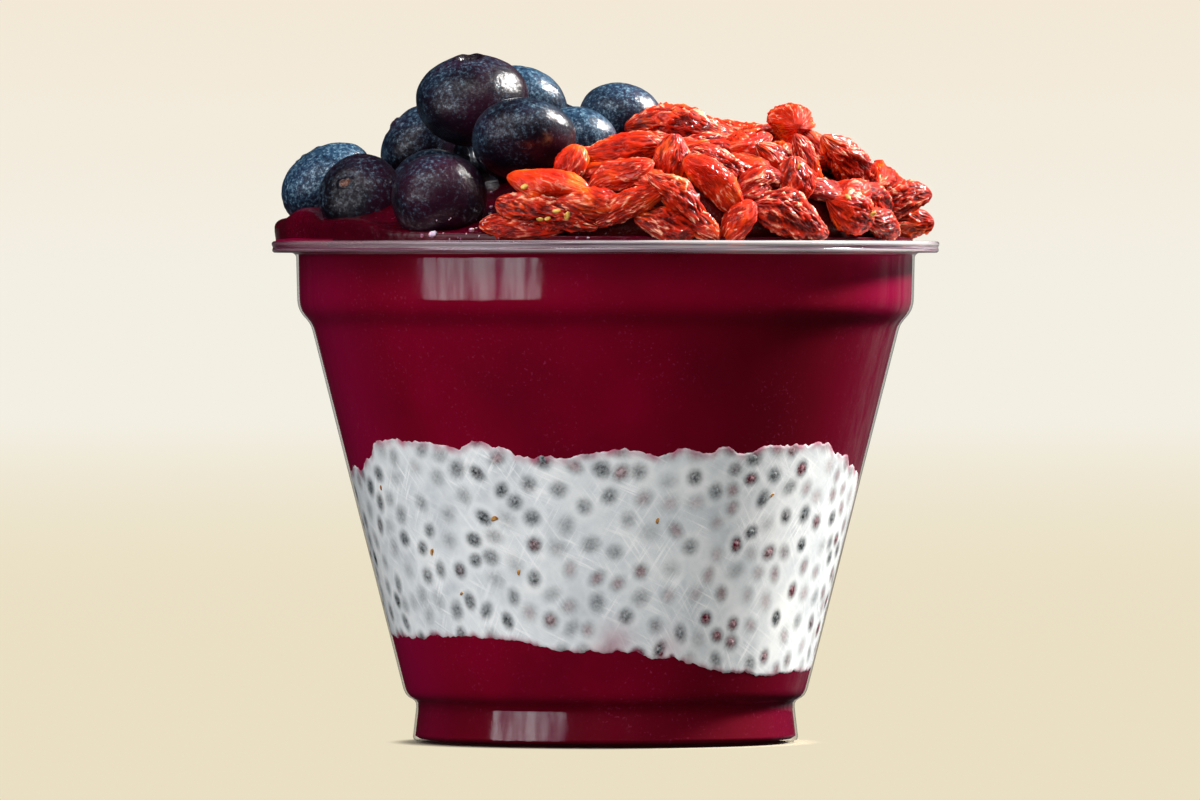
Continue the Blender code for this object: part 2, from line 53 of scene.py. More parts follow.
# %% [markdown]
# ## Helpers
# Colours are picked as sRGB hex values, the way a colour picker gives them, while shaders work in
# linear light, so one function converts them. Another adds a shader node with its settings and links,
# and short ones stand for the nodes used most, because a material is easier to read as a list of such
# calls. The last few turn points in millimetres into closed bodies, tied to the solid model.

# %% Colours
def linear(hex_colour):
    """An sRGB hex colour as linear RGBA."""
    parts = [int(hex_colour[i:i + 2], 16) / 255 for i in (1, 3, 5)]
    return (*[c / 12.92 if c <= 0.04045 else ((c + 0.055) / 1.055) ** 2.4 for c in parts], 1.0)


# %% Shader nodes
def put(tree, node, values):
    """Links each value that is a socket to the node's input, and sets any other."""
    for key, value in values.items():
        if isinstance(value, bpy.types.NodeSocket):
            tree.links.new(value, node.inputs[key])
        else:
            node.inputs[key].default_value = value


def add(tree, kind, values=None, **settings):
    """A shader node with its settings and its inputs."""
    node = tree.nodes.new(kind)
    for key, value in settings.items():
        setattr(node, key, value)
    put(tree, node, values or {})
    return node


def reckon(tree, operation, *values, **settings):
    """Arithmetic on numbers and sockets."""
    return add(tree, "ShaderNodeMath", dict(enumerate(values)), operation=operation, **settings).outputs[0]


def ranged(tree, value, low, high, to_low=0.0, to_high=1.0, **settings):
    """A value between low and high as one between to_low and to_high."""
    return add(tree, "ShaderNodeMapRange", {
        "Value": value, "From Min": low, "From Max": high, "To Min": to_low, "To Max": to_high},
        **settings).outputs["Result"]


def speckle(tree, place, scale, detail, values=None, **settings):
    """Noise, with its scale in blobs to the unit in which the place is given."""
    return add(tree, "ShaderNodeTexNoise", {
        "Vector": place, "Scale": scale, "Detail": detail, **(values or {})}, **settings).outputs["Fac"]


def stretched(tree, place, scale):
    """The place with its axes scaled, to draw noise out along an axis."""
    return add(tree, "ShaderNodeMapping", {"Vector": place, "Scale": scale}).outputs["Vector"]


def stored(tree, name):
    """A number that each point of the mesh carries."""
    return add(tree, "ShaderNodeAttribute", attribute_name=name).outputs["Fac"]


def relief(tree, height, strength, distance):
    """The normal of a surface with fine relief, its distance in metres."""
    return add(tree, "ShaderNodeBump", {
        "Height": height, "Strength": strength, "Distance": distance}).outputs["Normal"]


def ramp(tree, factor, stops):
    """A colour ramp with (position, hex colour) stops."""
    made = add(tree, "ShaderNodeValToRGB", {"Fac": factor})
    points = made.color_ramp.elements
    while len(points) < len(stops):
        points.new(0.5)
    for point, (position, colour) in zip(points, stops):
        point.position = position
        point.color = linear(colour)
    return made.outputs["Color"]


def mix_colours(tree, factor, first, second):
    """The first colour turning into the second as the factor grows."""
    return add(tree, "ShaderNodeMix", {"Factor": factor, 6: first, 7: second}, data_type="RGBA").outputs[2]


def new_material(name, roughness, ior):
    """A material, its node tree, its Principled shader, and the place on the piece."""
    material = bpy.data.materials.new(name)
    material.use_nodes = True
    tree = material.node_tree
    shader = tree.nodes["Principled BSDF"]
    put(tree, shader, {"Roughness": roughness, "IOR": ior})
    return material, tree, shader, add(tree, "ShaderNodeTexCoord").outputs["Object"]


def speckled(name, roughness, ior, scale, stops, detail=2.0):
    """A plain material whose colour varies in specks."""
    material, tree, shader, place = new_material(name, roughness, ior)
    put(tree, shader, {"Base Color": ramp(tree, speckle(tree, place, scale, detail), stops)})
    return material, tree, shader, place


# %% Meshes
def new_piece(name, points, faces, materials, slot, replaced=(), **attributes):
    """A smooth mesh from points in millimetres, with a number stored at each point for the shaders."""
    mesh = bpy.data.meshes.new(name)
    mesh.from_pydata((np.asarray(points) * MM).tolist(), [], faces)
    mesh.shade_smooth()
    for material in materials:
        mesh.materials.append(material)
    for key, values in attributes.items():
        layer = mesh.attributes.new(key, "FLOAT", "POINT")
        layer.data.foreach_set("value", np.asarray(values, dtype=np.float32).ravel())
    piece = bpy.data.objects.new(name, mesh)
    bpy.context.scene.collection.objects.link(piece)
    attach(piece, "root")
    if replaced:
        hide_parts(*replaced)
    print(name, len(points), "points", len(faces), "faces")
    return piece


def body_faces(rings, sides, first=0):
    """Faces of a closed body made of a pole, rings of points going down, and a last pole."""
    around = np.arange(sides)
    after = (around + 1) % sides
    start = first + 1 + np.arange(rings - 1)[:, None] * sides
    quads = np.stack([start + around, start + sides + around, start + sides + after, start + after], -1)
    last = first + 1 + (rings - 1) * sides
    top = np.stack([np.full(sides, first), first + 1 + around, first + 1 + after], -1)
    bottom = np.stack([np.full(sides, last + sides), last + after, last + around], -1)
    return quads.reshape(-1, 4).tolist() + top.tolist() + bottom.tolist()


def closed(rings, top=None, bottom=None):
    """The points of such a body. A pole that isn't given is in the middle of its ring."""
    rings = np.asarray(rings)
    top = rings[0].mean(axis=0) if top is None else top
    bottom = rings[-1].mean(axis=0) if bottom is None else bottom
    return np.concatenate([[top], rings.reshape(-1, 3), [bottom]])


def egg(sides):
    """A unit ball along Z: six rings between two poles."""
    levels = np.cos(np.linspace(0, math.pi, 8))[1:-1, None]
    turns = np.linspace(0, 2 * math.pi, sides, endpoint=False)
    flat = np.sqrt(1 - levels**2)
    rings = np.stack([flat * np.cos(turns), flat * np.sin(turns), np.repeat(levels, sides, 1)], -1)
    return closed(rings, (0, 0, 1), (0, 0, -1))


def smooth(low, high, value):
    """0 below low, 1 above high, and an eased slope between them."""
    t = np.clip((np.asarray(value, dtype=float) - low) / (high - low), 0, 1)
    return t * t * (3 - 2 * t)


def heading(compass, elevation):
    """A direction from its compass angle and its elevation, in degrees."""
    compass, elevation = math.radians(compass), math.radians(elevation)
    flat = math.cos(elevation)
    return Vector((flat * math.cos(compass), flat * math.sin(compass), math.sin(elevation)))


# %% [markdown]
# ## The camera and the light
# The photo looks straight at the cup from about 2 m with a long lens, level with the heap, so the rim
# shows as a line. A soft box stands low on the left, a small bright lamp hangs high on the right for
# the sparkle on the fruit, and two dim cards over the set fill the shadows.

# %% Camera
CAMERA_PLACE = Vector((-0.0008, -2.0, 0.068))
CAMERA_AIM = Vector((-0.0008, 0.0, 0.050))
camera_data = bpy.data.cameras.new("camera")
camera_data.sensor_width = 36.0
camera_data.lens = 409.0
camera = bpy.data.objects.new("camera", camera_data)
camera.location = CAMERA_PLACE
camera.rotation_euler = (CAMERA_AIM - CAMERA_PLACE).to_track_quat("-Z", "Y").to_euler()
bpy.context.scene.collection.objects.link(camera)
bpy.context.scene.camera = camera
bpy.context.scene.view_settings.view_transform = "Standard"


# %% Lights
def new_light(name, place, aim, size, watts, colour):
    """A rectangular soft light, size as (width, height) in metres."""
    data = bpy.data.lights.new(name, "AREA")
    data.shape = "RECTANGLE"
    data.size, data.size_y = size
    data.energy = watts
    data.color = linear(colour)[:3]
    lamp = bpy.data.objects.new(name, data)
    lamp.location = place
    lamp.rotation_euler = (Vector(aim) - Vector(place)).to_track_quat("-Z", "Y").to_euler()
    bpy.context.scene.collection.objects.link(lamp)


new_light("soft_box_left", (-0.80, -0.72, 0.12), (0, 0, 0.06), (0.95, 0.40), 4.4, "#F4F8FF")
new_light("card_high_left", (-0.70, -0.50, 0.85), (0, 0, 0.06), (0.60, 0.50), 4.0, "#F6F9FF")
new_light("bright_lamp_right", (0.89, 0.28, 0.84), (0, 0, 0.08), (0.24, 0.24), 56.0, "#FFFDF8")
new_light("card_above_camera", (-0.10, -0.95, 1.05), (0, 0, 0.05), (0.5, 0.4), 4.0, "#FDFDFF")

# %% [markdown]
# Round the set the studio is dark, as black cloth would make it, so the clear wall mirrors only the
# lamps, and at its right edge a white card behind. Behind the cup hangs a cream paper, a little pinker
# higher up. The world stands for all three: rays straight from the camera, or through the clear rim,
# meet the paper, mirrored rays meet the cloth or the card, and soft light comes from a dim white room
# with a bright ceiling.

# %% Studio
PAPER, PAPER_ABOVE = "#F3EFE3", "#F3E8D6"
world = bpy.data.worlds.new("studio")
world.use_nodes = True
tree = world.node_tree
ray = add(tree, "ShaderNodeLightPath").outputs
sees_paper = reckon(tree, "MAXIMUM", ray["Is Camera Ray"], ray["Is Transmission Ray"])
direction = add(tree, "ShaderNodeTexCoord").outputs["Generated"]
behind, overhead = (
    add(tree, "ShaderNodeVectorMath", {0: direction, 1: way}, operation="DOT_PRODUCT").outputs["Value"]
    for way in ((0.42, 0.906, 0.0), (-0.10, -0.45, 0.887)))
ahead = add(tree, "ShaderNodeSeparateXYZ", {"Vector": direction}).outputs
card = ranged(tree, behind, 0.76, 0.95, 0.0, 0.17, interpolation_type="SMOOTHSTEP")
card_edge = ranged(tree, ahead["Y"], 0.94, 0.99, 0.0, 0.12)
not_above = ranged(tree, ahead["Z"], 0.002, 0.012, 1.0, 0.0)
not_below = ranged(tree, ahead["Z"], -0.32, -0.18)
mirrored = reckon(tree, "MULTIPLY_ADD", reckon(tree, "MAXIMUM", card, card_edge),
                  reckon(tree, "MULTIPLY", not_above, not_below), 0.006)
ceiling = ranged(tree, overhead, 0.3, 0.95, 0.27, 1.5)
dim = add(tree, "ShaderNodeMix", {"Factor": ray["Is Glossy Ray"], "A": ceiling, "B": mirrored}).outputs["Result"]
hung = mix_colours(tree, ranged(tree, ahead["Z"], 0.0, 0.02), linear(PAPER), linear(PAPER_ABOVE))
put(tree, tree.nodes["Background"], {
    "Color": mix_colours(tree, sees_paper, linear("#F8F7F4"), hung),
    "Strength": ranged(tree, sees_paper, 0.0, 1.0, dim, 1.0)})
bpy.context.scene.world = world

# %% [markdown]
# ## The table
# A matt painted board, pale cream, which only has to catch a soft shadow. Its faint mottle is the grain
# of roller paint, about a millimetre across. Away from the cup it glows like the paper behind it, so
# that no edge of the table shows. It is kept out of mirror and soft reflections, so it tints no food.

# %% Table
painted_board, tree, shader, place = speckled(
    "matt_painted_board", 0.75, 1.5, 900.0, ((0.3, "#9C937E"), (0.7, "#A29983")), detail=3.0)
reach = add(tree, "ShaderNodeVectorMath", {0: place}, operation="LENGTH").outputs["Value"]
far = ranged(tree, reach, 0.0282, 0.0325, interpolation_type="SMOOTHSTEP")
beyond = ranged(tree, reach, 0.3, 5.0, interpolation_type="SMOOTHSTEP")
glow = add(tree, "ShaderNodeEmission", {
    "Color": mix_colours(tree, beyond, linear("#EADFC3"), linear(PAPER)), "Strength": 1.0})
board = add(tree, "ShaderNodeMixShader", {"Fac": far, 1: shader.outputs[0], 2: glow.outputs[0]})
put(tree, tree.nodes["Material Output"], {"Surface": board.outputs[0]})

table_mesh = bpy.data.meshes.new("table")
outline = bmesh.new()
bmesh.ops.create_circle(outline, cap_ends=True, segments=96, radius=6.0)
outline.to_mesh(table_mesh)
outline.free()
table_mesh.materials.append(painted_board)
table = bpy.data.objects.new("table", table_mesh)
table.location.z = -0.0002
table.visible_glossy = False
table.visible_diffuse = False
bpy.context.scene.collection.objects.link(table)

# %% [markdown]
# ## The clear cup
# The real cup is PET sheet, 0.6 mm thick, sucked hot into a mould. That leaves a crisp rim and foot,
# softly rounded shoulders and a skin that is smooth but never quite flat. It is turned here from one
# closed profile. The profile is the solid's own, with its corners rounded more finely.

# %% Profile of the cup
RIM_RADIUS, RIM_TOP, RIM_THICKNESS = 49.0, 73.3, 1.7
BAND_RADIUS, SHOULDER_RADIUS, SHOULDER_Z = 45.35, 45.2, 64.2
BODY_TOP_RADIUS, BODY_TOP_Z = 43.1, 60.7
BODY_BOTTOM_RADIUS, BODY_BOTTOM_Z, STEP_Z = 29.6, 7.6, 6.2
FOOT_TOP_RADIUS, FOOT_RADIUS, FOOT_CORNER = 27.6, 28.25, 0.6
WALL, FLOOR_TOP, RECESS = 0.6, 1.7, 0.9


def arc(centre, radius, start, end, steps):
    """Points on an arc in the (radius, height) plane, angles in degrees from outwards."""
    turns = np.radians(np.linspace(start, end, steps + 1))
    return [(centre[0] + radius * math.cos(t), centre[1] + radius * math.sin(t)) for t in turns]


def outside_line():
    """The cup's outside from the foot's corner up to the band's top."""
    corner = BODY_BOTTOM_Z - STEP_Z
    return [
        (FOOT_RADIUS, FOOT_CORNER),
        (FOOT_TOP_RADIUS + 0.12, STEP_Z - 0.9),
        (FOOT_TOP_RADIUS + 0.05, STEP_Z - 0.25),
        *arc((BODY_BOTTOM_RADIUS - corner, BODY_BOTTOM_Z), corner, -76, -14, 6),
        (BODY_TOP_RADIUS - 0.1, BODY_TOP_Z - 0.4),
        (BODY_TOP_RADIUS + 0.06, BODY_TOP_Z + 0.3),
        (BODY_TOP_RADIUS + 0.45, BODY_TOP_Z + 0.85),
        (SHOULDER_RADIUS - 0.75, SHOULDER_Z - 1.75),
        (SHOULDER_RADIUS - 0.25, SHOULDER_Z - 1.0),
        (SHOULDER_RADIUS, SHOULDER_Z),
        (BAND_RADIUS, RIM_TOP - RIM_THICKNESS - 0.9),
    ]


def evened(line, spacing, rounds):
    """A line with a point every so many millimetres, its corners rounded by averaging."""
    line = np.array(line)
    run = np.concatenate([[0], np.cumsum(np.hypot(*np.diff(line, axis=0).T))])
    steps = np.linspace(0, run[-1], int(run[-1] / spacing) + 1)
    even = np.stack([np.interp(steps, run, line[:, k]) for k in (0, 1)], -1)
    for _ in range(rounds):
        even[1:-1] = 0.25 * even[:-2] + 0.5 * even[1:-1] + 0.25 * even[2:]
    return even


OUTSIDE = np.concatenate([evened(outside_line(), 0.55, 2), [(BAND_RADIUS, RIM_TOP)]])


def wall_radius(height, depth):
    """The radius at a height, a depth in from the cup's outside."""
    return np.interp(height, OUTSIDE[:, 1], OUTSIDE[:, 0]) - depth


def cup_profile():
    """The closed profile: floor, inside, rim, outside and foot."""
    levels = OUTSIDE[OUTSIDE[:, 1] > FLOOR_TOP + 0.4, 1][::2]
    inside = [(0.0, FLOOR_TOP), (23.6, FLOOR_TOP), (24.3, 1.15), (24.9, 0.62), (27.1, 0.62), (27.55, 1.1)]
    inside += [(float(wall_radius(z, WALL)), float(z)) for z in levels if z < RIM_TOP - 1.0]
    bottom = RIM_TOP - RIM_THICKNESS
    rim = [
        *arc((BAND_RADIUS - WALL + 0.5, RIM_TOP - 0.5), 0.5, 180, 90, 5),
        (BAND_RADIUS + 1.6, RIM_TOP),
        (RIM_RADIUS - 1.2, RIM_TOP),
        *arc((RIM_RADIUS - 0.46, RIM_TOP - 0.44), 0.44, 90, -38, 10),
        (RIM_RADIUS - 0.16, RIM_TOP - 0.82),
        *arc((RIM_RADIUS - 0.50, bottom + 0.40), 0.40, 40, -90, 10),
        (RIM_RADIUS - 1.3, bottom),
        (BAND_RADIUS + 1.5, bottom),
        *arc((BAND_RADIUS + 0.8, bottom - 0.8), 0.8, 90, 180, 6),
    ]
    foot = [
        (FOOT_RADIUS - 0.12, 0.25),
        (FOOT_RADIUS - FOOT_CORNER, 0.0),
        (FOOT_RADIUS - FOOT_CORNER - 2.8, 0.0),
        (FOOT_RADIUS - FOOT_CORNER - 3.7, RECESS),
        (0.0, RECESS),
    ]
    outer = [tuple(p) for p in OUTSIDE[::-1] if p[1] < bottom - 0.85]
    return inside + rim + outer + foot


def turn(profile, sides, wobble=0.0):
    """Points of a closed body turned from a profile that starts and ends on the axis."""
    inner = np.array(profile[1:-1])
    angles = np.linspace(0, 2 * math.pi, sides, endpoint=False)
    radius = np.repeat(inner[:, :1], sides, axis=1)
    waves = np.sin(3 * angles + inner[:, 1:] / 9) + 0.6 * np.sin(7 * angles - inner[:, 1:] / 5)
    radius += wobble * waves - 1.6 * wobble * (radius > BAND_RADIUS + 2)
    rings = np.stack([radius * np.cos(angles), radius * np.sin(angles), np.repeat(inner[:, 1:], sides, 1)], -1)
    return closed(rings, (0, 0, profile[0][1]), (0, 0, profile[-1][1]))


PROFILE = cup_profile()
print("profile points:", len(PROFILE))

# %% [markdown]
# ### Clear thermoformed PET
# PET is a clear plastic with an IOR of about 1.57. The food touches the wall all over, so light crosses
# the wall and lights the food straight away: a transparent shader that mirrors by Fresnel shows that
# with no noise, where a refracting one would leave the food dark. It mirrors only from outside, since
# the food clings to the inside and leaves no air for the light to turn back from. A fine orange peel,
# about 1.5 mm from bump to bump, breaks up the reflections. The thick rim has air all round, so it does
# refract. Fine lines run along it, about 0.4 mm apart, as a slight relief, and their white and dark
# colour is painted reflection.

# %% Clear wall
PET_IOR = 1.57


def clear_wall():
    """Thin sheet with food behind it: see-through, and a mirror on its outer side."""
    material, tree, shader, place = new_material("thermoformed_clear_pet", 0.12, PET_IOR)
    tree.nodes.remove(shader)
    peel = relief(tree, speckle(tree, place, 650.0, 2.0), 0.12, 0.0002)
    smears = speckle(tree, stretched(tree, place, (1.0, 1.0, 0.1)), 420.0, 5.0, {"Roughness": 0.7})
    mirror = add(tree, "ShaderNodeBsdfAnisotropic", {
        "Color": ramp(tree, smears, ((0.38, "#8C7088"), (0.62, "#FFFFFF"))),
        "Roughness": ranged(tree, speckle(tree, place, 140.0, 4.0), 0.0, 1.0, 0.05, 0.14), "Normal": peel})
    through = add(tree, "ShaderNodeBsdfTransparent", {"Color": linear("#FBFBFB")})
    fresnel = add(tree, "ShaderNodeFresnel", {"IOR": PET_IOR, "Normal": peel}).outputs["Fac"]
    outside = reckon(tree, "SUBTRACT", 1.0, add(tree, "ShaderNodeNewGeometry").outputs["Backfacing"])
    mixed = add(tree, "ShaderNodeMixShader", {
        "Fac": reckon(tree, "MULTIPLY", fresnel, outside), 1: through.outputs[0], 2: mirror.outputs[0]})
    put(tree, tree.nodes["Material Output"], {"Surface": mixed.outputs[0]})
    return material


# %% Clear rim
def clear_rim():
    """The thick flange round the mouth, with painted streaks of reflection along it, tinted by the acai below it on the
    left.
    """
    material, tree, shader, place = new_material("thick_clear_pet_rim", 0.07, PET_IOR)
    lines = speckle(tree, stretched(tree, place, (0.014, 0.014, 1.0)), 2600.0, 3.0)
    # Painted reflection: white and dark streaks along the rim, from noise stretched round it.
    painted_streaks = ramp(tree, lines, ((0.36, "#7A6474"), (0.47, "#D8CCD8"), (0.56, "#FFFFFF")))
    across = add(tree, "ShaderNodeSeparateXYZ", {"Vector": place}).outputs["X"]
    left = ranged(tree, across, 0.015, -0.049, 0.0, 0.8)
    put(tree, shader, {
        "Base Color": mix_colours(tree, left, painted_streaks, linear("#98385E")),
        "Transmission Weight": 0.64, "Normal": relief(tree, lines, 0.3, 0.0003)})
    return material


SIDES = 240
cup = new_piece("clear_cup", turn(PROFILE, SIDES, 0.012), body_faces(len(PROFILE) - 2, SIDES),
                [clear_wall(), clear_rim()], "clear_pet", ["cup"])
for face in cup.data.polygons:
    middle = face.center
    if middle.z > (RIM_TOP - RIM_THICKNESS - 0.2) * MM and middle.xy.length > (BAND_RADIUS + 0.1) * MM:
        face.material_index = 1

# %% [markdown]
# ## Two seams and three layers
# The acai is spooned in, the chia pudding spreads over it in lobes, and more acai follows. Each seam is a
# line round the wall: a slow wave that the spoon left, lobes 8 to 12 mm wide, and a ragged edge finer
# than a millimetre. Keys give the slow wave, and seeded noise gives the rest, the same on every run.

# %% Seams round the wall
TOP_SEAM = (
    (-180, 42.5), (-145, 43.6), (-112, 42.0), (-90, 40.0), (-72, 40.6), (-65, 42.2), (-58, 44.9), (-49, 45.1),
    (-43, 44.4), (-37, 43.5), (-30, 44.2), (-24, 44.1), (-17, 42.6), (-10, 42.5), (-4, 42.8), (5, 43.4),
    (11, 43.0), (17, 43.7), (23, 42.9), (26, 43.7), (31, 43.1), (37, 43.5), (43, 43.9), (49, 44.3), (56, 44.6),
    (62, 43.0), (67, 42.7), (72, 40.9), (90, 38.0), (120, 41.5), (150, 43.8), (180, 42.5),
)
LOW_SEAM = (
    (-180, 12.8), (-130, 14.0), (-90, 14.9), (-60, 15.1), (-48, 15.5), (-39, 15.6), (-30, 15.0), (-25, 14.9),
    (-17, 14.0), (-10, 13.5), (0, 13.5), (7, 13.4), (18, 12.5), (24, 11.5), (30, 10.8), (37, 10.2), (49, 9.9),
    (70, 9.9), (90, 10.1), (135, 11.2), (180, 12.8),
)


def wavy(keys, angles, seed, lobes, ragged):
    """Height of a seam at each angle round from the front, in degrees, with round lobes between notches."""
    angles = (np.asarray(angles) + 180) % 360 - 180
    at, heights = (np.array(column, dtype=float) for column in zip(*keys))
    slot = np.clip(np.searchsorted(at, angles, side="right") - 1, 0, len(at) - 2)
    eased = smooth(0, 1, (angles - at[slot]) / (at[slot + 1] - at[slot]))
    base = heights[slot] + (heights[slot + 1] - heights[slot]) * eased
    rough = []
    for a in np.radians(angles):
        spot = Vector((38 * math.sin(a), 38 * math.cos(a), seed))
        rough.append(lobes * (abs(noise.noise(spot / 5.2)) ** 0.8 - 0.2)
                     + ragged * (noise.noise(spot / 1.1) + 0.8 * noise.noise(spot / 0.55)))
    return base + np.array(rough)


def at_angle(radius, angles, height):
    """Points at a radius and a height, angles in degrees round from the front towards +X."""
    turns, radius, height = np.broadcast_arrays(np.radians(angles), radius, height)
    return np.stack([radius * np.sin(turns), -radius * np.cos(turns), height], -1)


def top_seam(angles):
    """Height of the pudding's upper edge."""
    return wavy(TOP_SEAM, angles, 1.0, 1.4, 0.30)


def low_seam(angles):
    """Height of the pudding's lower edge."""
    return wavy(LOW_SEAM, angles, 7.0, -0.9, 0.20)


print("top seam at the front:", round(float(top_seam([0.0])[0]), 2), "mm")

# %% [markdown]
# ### Chia pudding
# Chia seeds soak up milk and grow a clear jelly coat, so the pudding is a pale, cloudy gel with dark
# seeds about 2 mm long hanging at all depths. A seed that touches the wall shows dark and nearly sharp,
# and a deeper one is a soft grey spot. The side is a fine sheet with a point every 0.3 mm, and
# each point stores how much seed lies behind it. The shader turns that into colour.

# %% Scatter the seeds
FLAT_RADIUS, ROUND_WALL = 36.0, 226.2  # The wall is laid flat at its middle radius.


def laid_flat(angles):
    """Millimetres round the wall from the front."""
    return np.radians(angles) * FLAT_RADIUS


def apart(first, second):
    """How far one place round the wall lies from another, the short way."""
    return (first - second + ROUND_WALL / 2) % ROUND_WALL - ROUND_WALL / 2


def scatter_seeds(count, spacing, seed):
    """Seeds as rows of (angle, height, half length, half width, tilt, depth, redness, flat place, room)."""
    draw = random.Random(seed)
    rows = []
    for _ in range(40000):
        angle = draw.uniform(-180, 180)
        height = draw.uniform(8.5, 45.5)
        place = float(laid_flat(angle))
        if any(math.hypot(apart(place, row[7]), height - row[1]) < spacing * row[8] for row in rows):
            continue
        depth = draw.random()
        rows.append((angle, height, draw.uniform(1.05, 1.35), draw.uniform(0.9, 1.15),
                     draw.uniform(0, math.pi), depth, draw.random(), place, draw.uniform(0.8, 1.3)))
        if len(rows) == count:
            break
    # Three gel drops stained by the acai, just above the lower seam.
    for angle, height in ((9.5, 13.5), (15.0, 13.6), (18.1, 13.0)):
        rows.append((angle, height, 0.55, 0.5, 0.0, 0.0, 2.0, float(laid_flat(angle)), 1.0))
    return rows


SEEDS = scatter_seeds(560, 2.95, 4)
print("seeds at the wall:", len(SEEDS))

# %% Pudding sheet
CHIA_COLUMNS, CHIA_ROWS = 900, 104
chia_angles = np.linspace(-180, 180, CHIA_COLUMNS, endpoint=False)
chia_top = top_seam(chia_angles)
chia_low = low_seam(chia_angles)
chia_height = chia_low + (chia_top - chia_low) * np.linspace(1, 0, CHIA_ROWS)[:, None]
edge = np.minimum(chia_top - chia_height, chia_height - chia_low)
chia_depth = 0.25 + 0.5 * (1 - smooth(0, 0.7, edge))
chia_side = at_angle(wall_radius(chia_height, chia_depth), chia_angles, chia_height)
caps = [chia_side[k] * (0.5, 0.5, 0) + (0, 0, height) for k, height in ((0, 42.0), (-1, 13.0))]
chia_points = closed(np.concatenate([[caps[0]], chia_side, [caps[1]]]), (0, 0, 42.0), (0, 0, 13.0))


def seed_look(angle, depth, redness, reach):
    """How much of a seed shows and how red it is, at places given by their share of the way to its edge."""
    soft = 0.5 + 0.5 * depth
    spot = (1 - smooth(1 - soft, 1 + soft, reach)) * (1.0 - 0.62 * depth)
    warm = smooth(0.45, 0.7, redness + 0.35 * math.sin(math.radians(angle)) - 0.1)
    return spot, warm * (1 - smooth(0.5, 1.0, reach))


def seed_masks(angles, heights):
    """How much seed shows at each place, how red it is, and how clear the jelly coat round it is."""
    dark, red, coat = np.zeros((3, *heights.shape))
    flat = laid_flat(angles)
    for angle, height, half_length, half_width, tilt, depth, redness, place, _ in SEEDS:
        across = apart(flat, place)
        near = np.abs(across) < 3.0
        x, z = across[near], heights[:, near] - height
        along = (z * math.cos(tilt) + x * math.sin(tilt)) / half_length
        side = (x * math.cos(tilt) - z * math.sin(tilt)) / half_width
        reach = np.sqrt(along**2 + side**2)
        spot, warm = seed_look(angle, depth, redness, reach)
        stronger = spot > dark[:, near]
        dark[:, near] = np.where(stronger, spot, dark[:, near])
        red[:, near] = np.where(stronger, warm, red[:, near])
        halo = np.exp(-(((reach - 1.75) / 0.4) ** 2)) * (1 - depth)
        coat[:, near] = np.maximum(coat[:, near], halo)
    return dark, red, coat


def padded(values):
    """A number for each point of the sheet, with noughts for those of its caps."""
    return np.pad(np.broadcast_to(values, chia_height.shape).ravel(), CHIA_COLUMNS + 1)


# %% [markdown]
# The gel is milky and soft, so its colour is a cool pale grey that clouds over 5 to 10 mm, with fine
# white streaks where frost has grown against the wall. The seeds are mottled with specks of a few
# tenths of a millimetre. Pink has bled in from the acai within about a millimetre of each seam.

# %% Pudding material
def chia_gel():
    """Cloudy gel with streaks of frost, and seeds where the mesh's numbers say so."""
    material, tree, shader, place = new_material("cloudy_chia_gel", 0.6, 1.35)
    cloud = speckle(tree, place, 140.0, 8.0, {"Roughness": 0.62})
    gel = ramp(tree, cloud, ((0.30, "#C8CDD1"), (0.50, "#DFE3E5"), (0.70, "#F2F3F2")))
    gel = mix_colours(tree, reckon(tree, "MULTIPLY", stored(tree, "coat"), 0.4), gel, linear("#FAFAFA"))
    flat = add(tree, "ShaderNodeCombineXYZ", {"X": stored(tree, "across"), "Y": stored(tree, "rise")}).outputs["Vector"]
    for number, turn_by in enumerate((-0.62, 0.55, -1.15)):
        patch = speckle(tree, flat, 0.16, 2.0, {"W": 3.0 * number}, noise_dimensions="4D")
        turned = add(tree, "ShaderNodeMapping", {"Vector": flat, "Rotation": (0.0, 0.0, turn_by)}).outputs["Vector"]
        smear = speckle(tree, stretched(tree, turned, (1.0, 0.06, 1.0)), 2.2, 3.0,
                        {"W": 9.0 * number, "Distortion": 0.35}, noise_dimensions="4D")
        frost = reckon(tree, "MULTIPLY", ranged(tree, smear, 0.54, 0.66), ranged(tree, patch, 0.42, 0.66, 0.0, 0.8))
        gel = mix_colours(tree, frost, gel, linear("#FFFFFF"))
    fleck = speckle(tree, place, 2300.0, 2.0)
    grey = ramp(tree, fleck, ((0.35, "#2F3336"), (0.65, "#55595B")))
    brown = ramp(tree, fleck, ((0.35, "#5A1024"), (0.65, "#803844")))
    seed = mix_colours(tree, stored(tree, "seed_red"), grey, brown)
    mottled = ranged(tree, fleck, 0.3, 0.7, 1.1, 0.75)
    amount = reckon(tree, "MULTIPLY", stored(tree, "seed"), mottled, use_clamp=True)
    seeded = mix_colours(tree, amount, gel, seed)
    put(tree, shader, {
        "Base Color": mix_colours(tree, stored(tree, "bleed"), seeded, linear("#A03A5C")),
        "Specular IOR Level": 0.05})
    return material


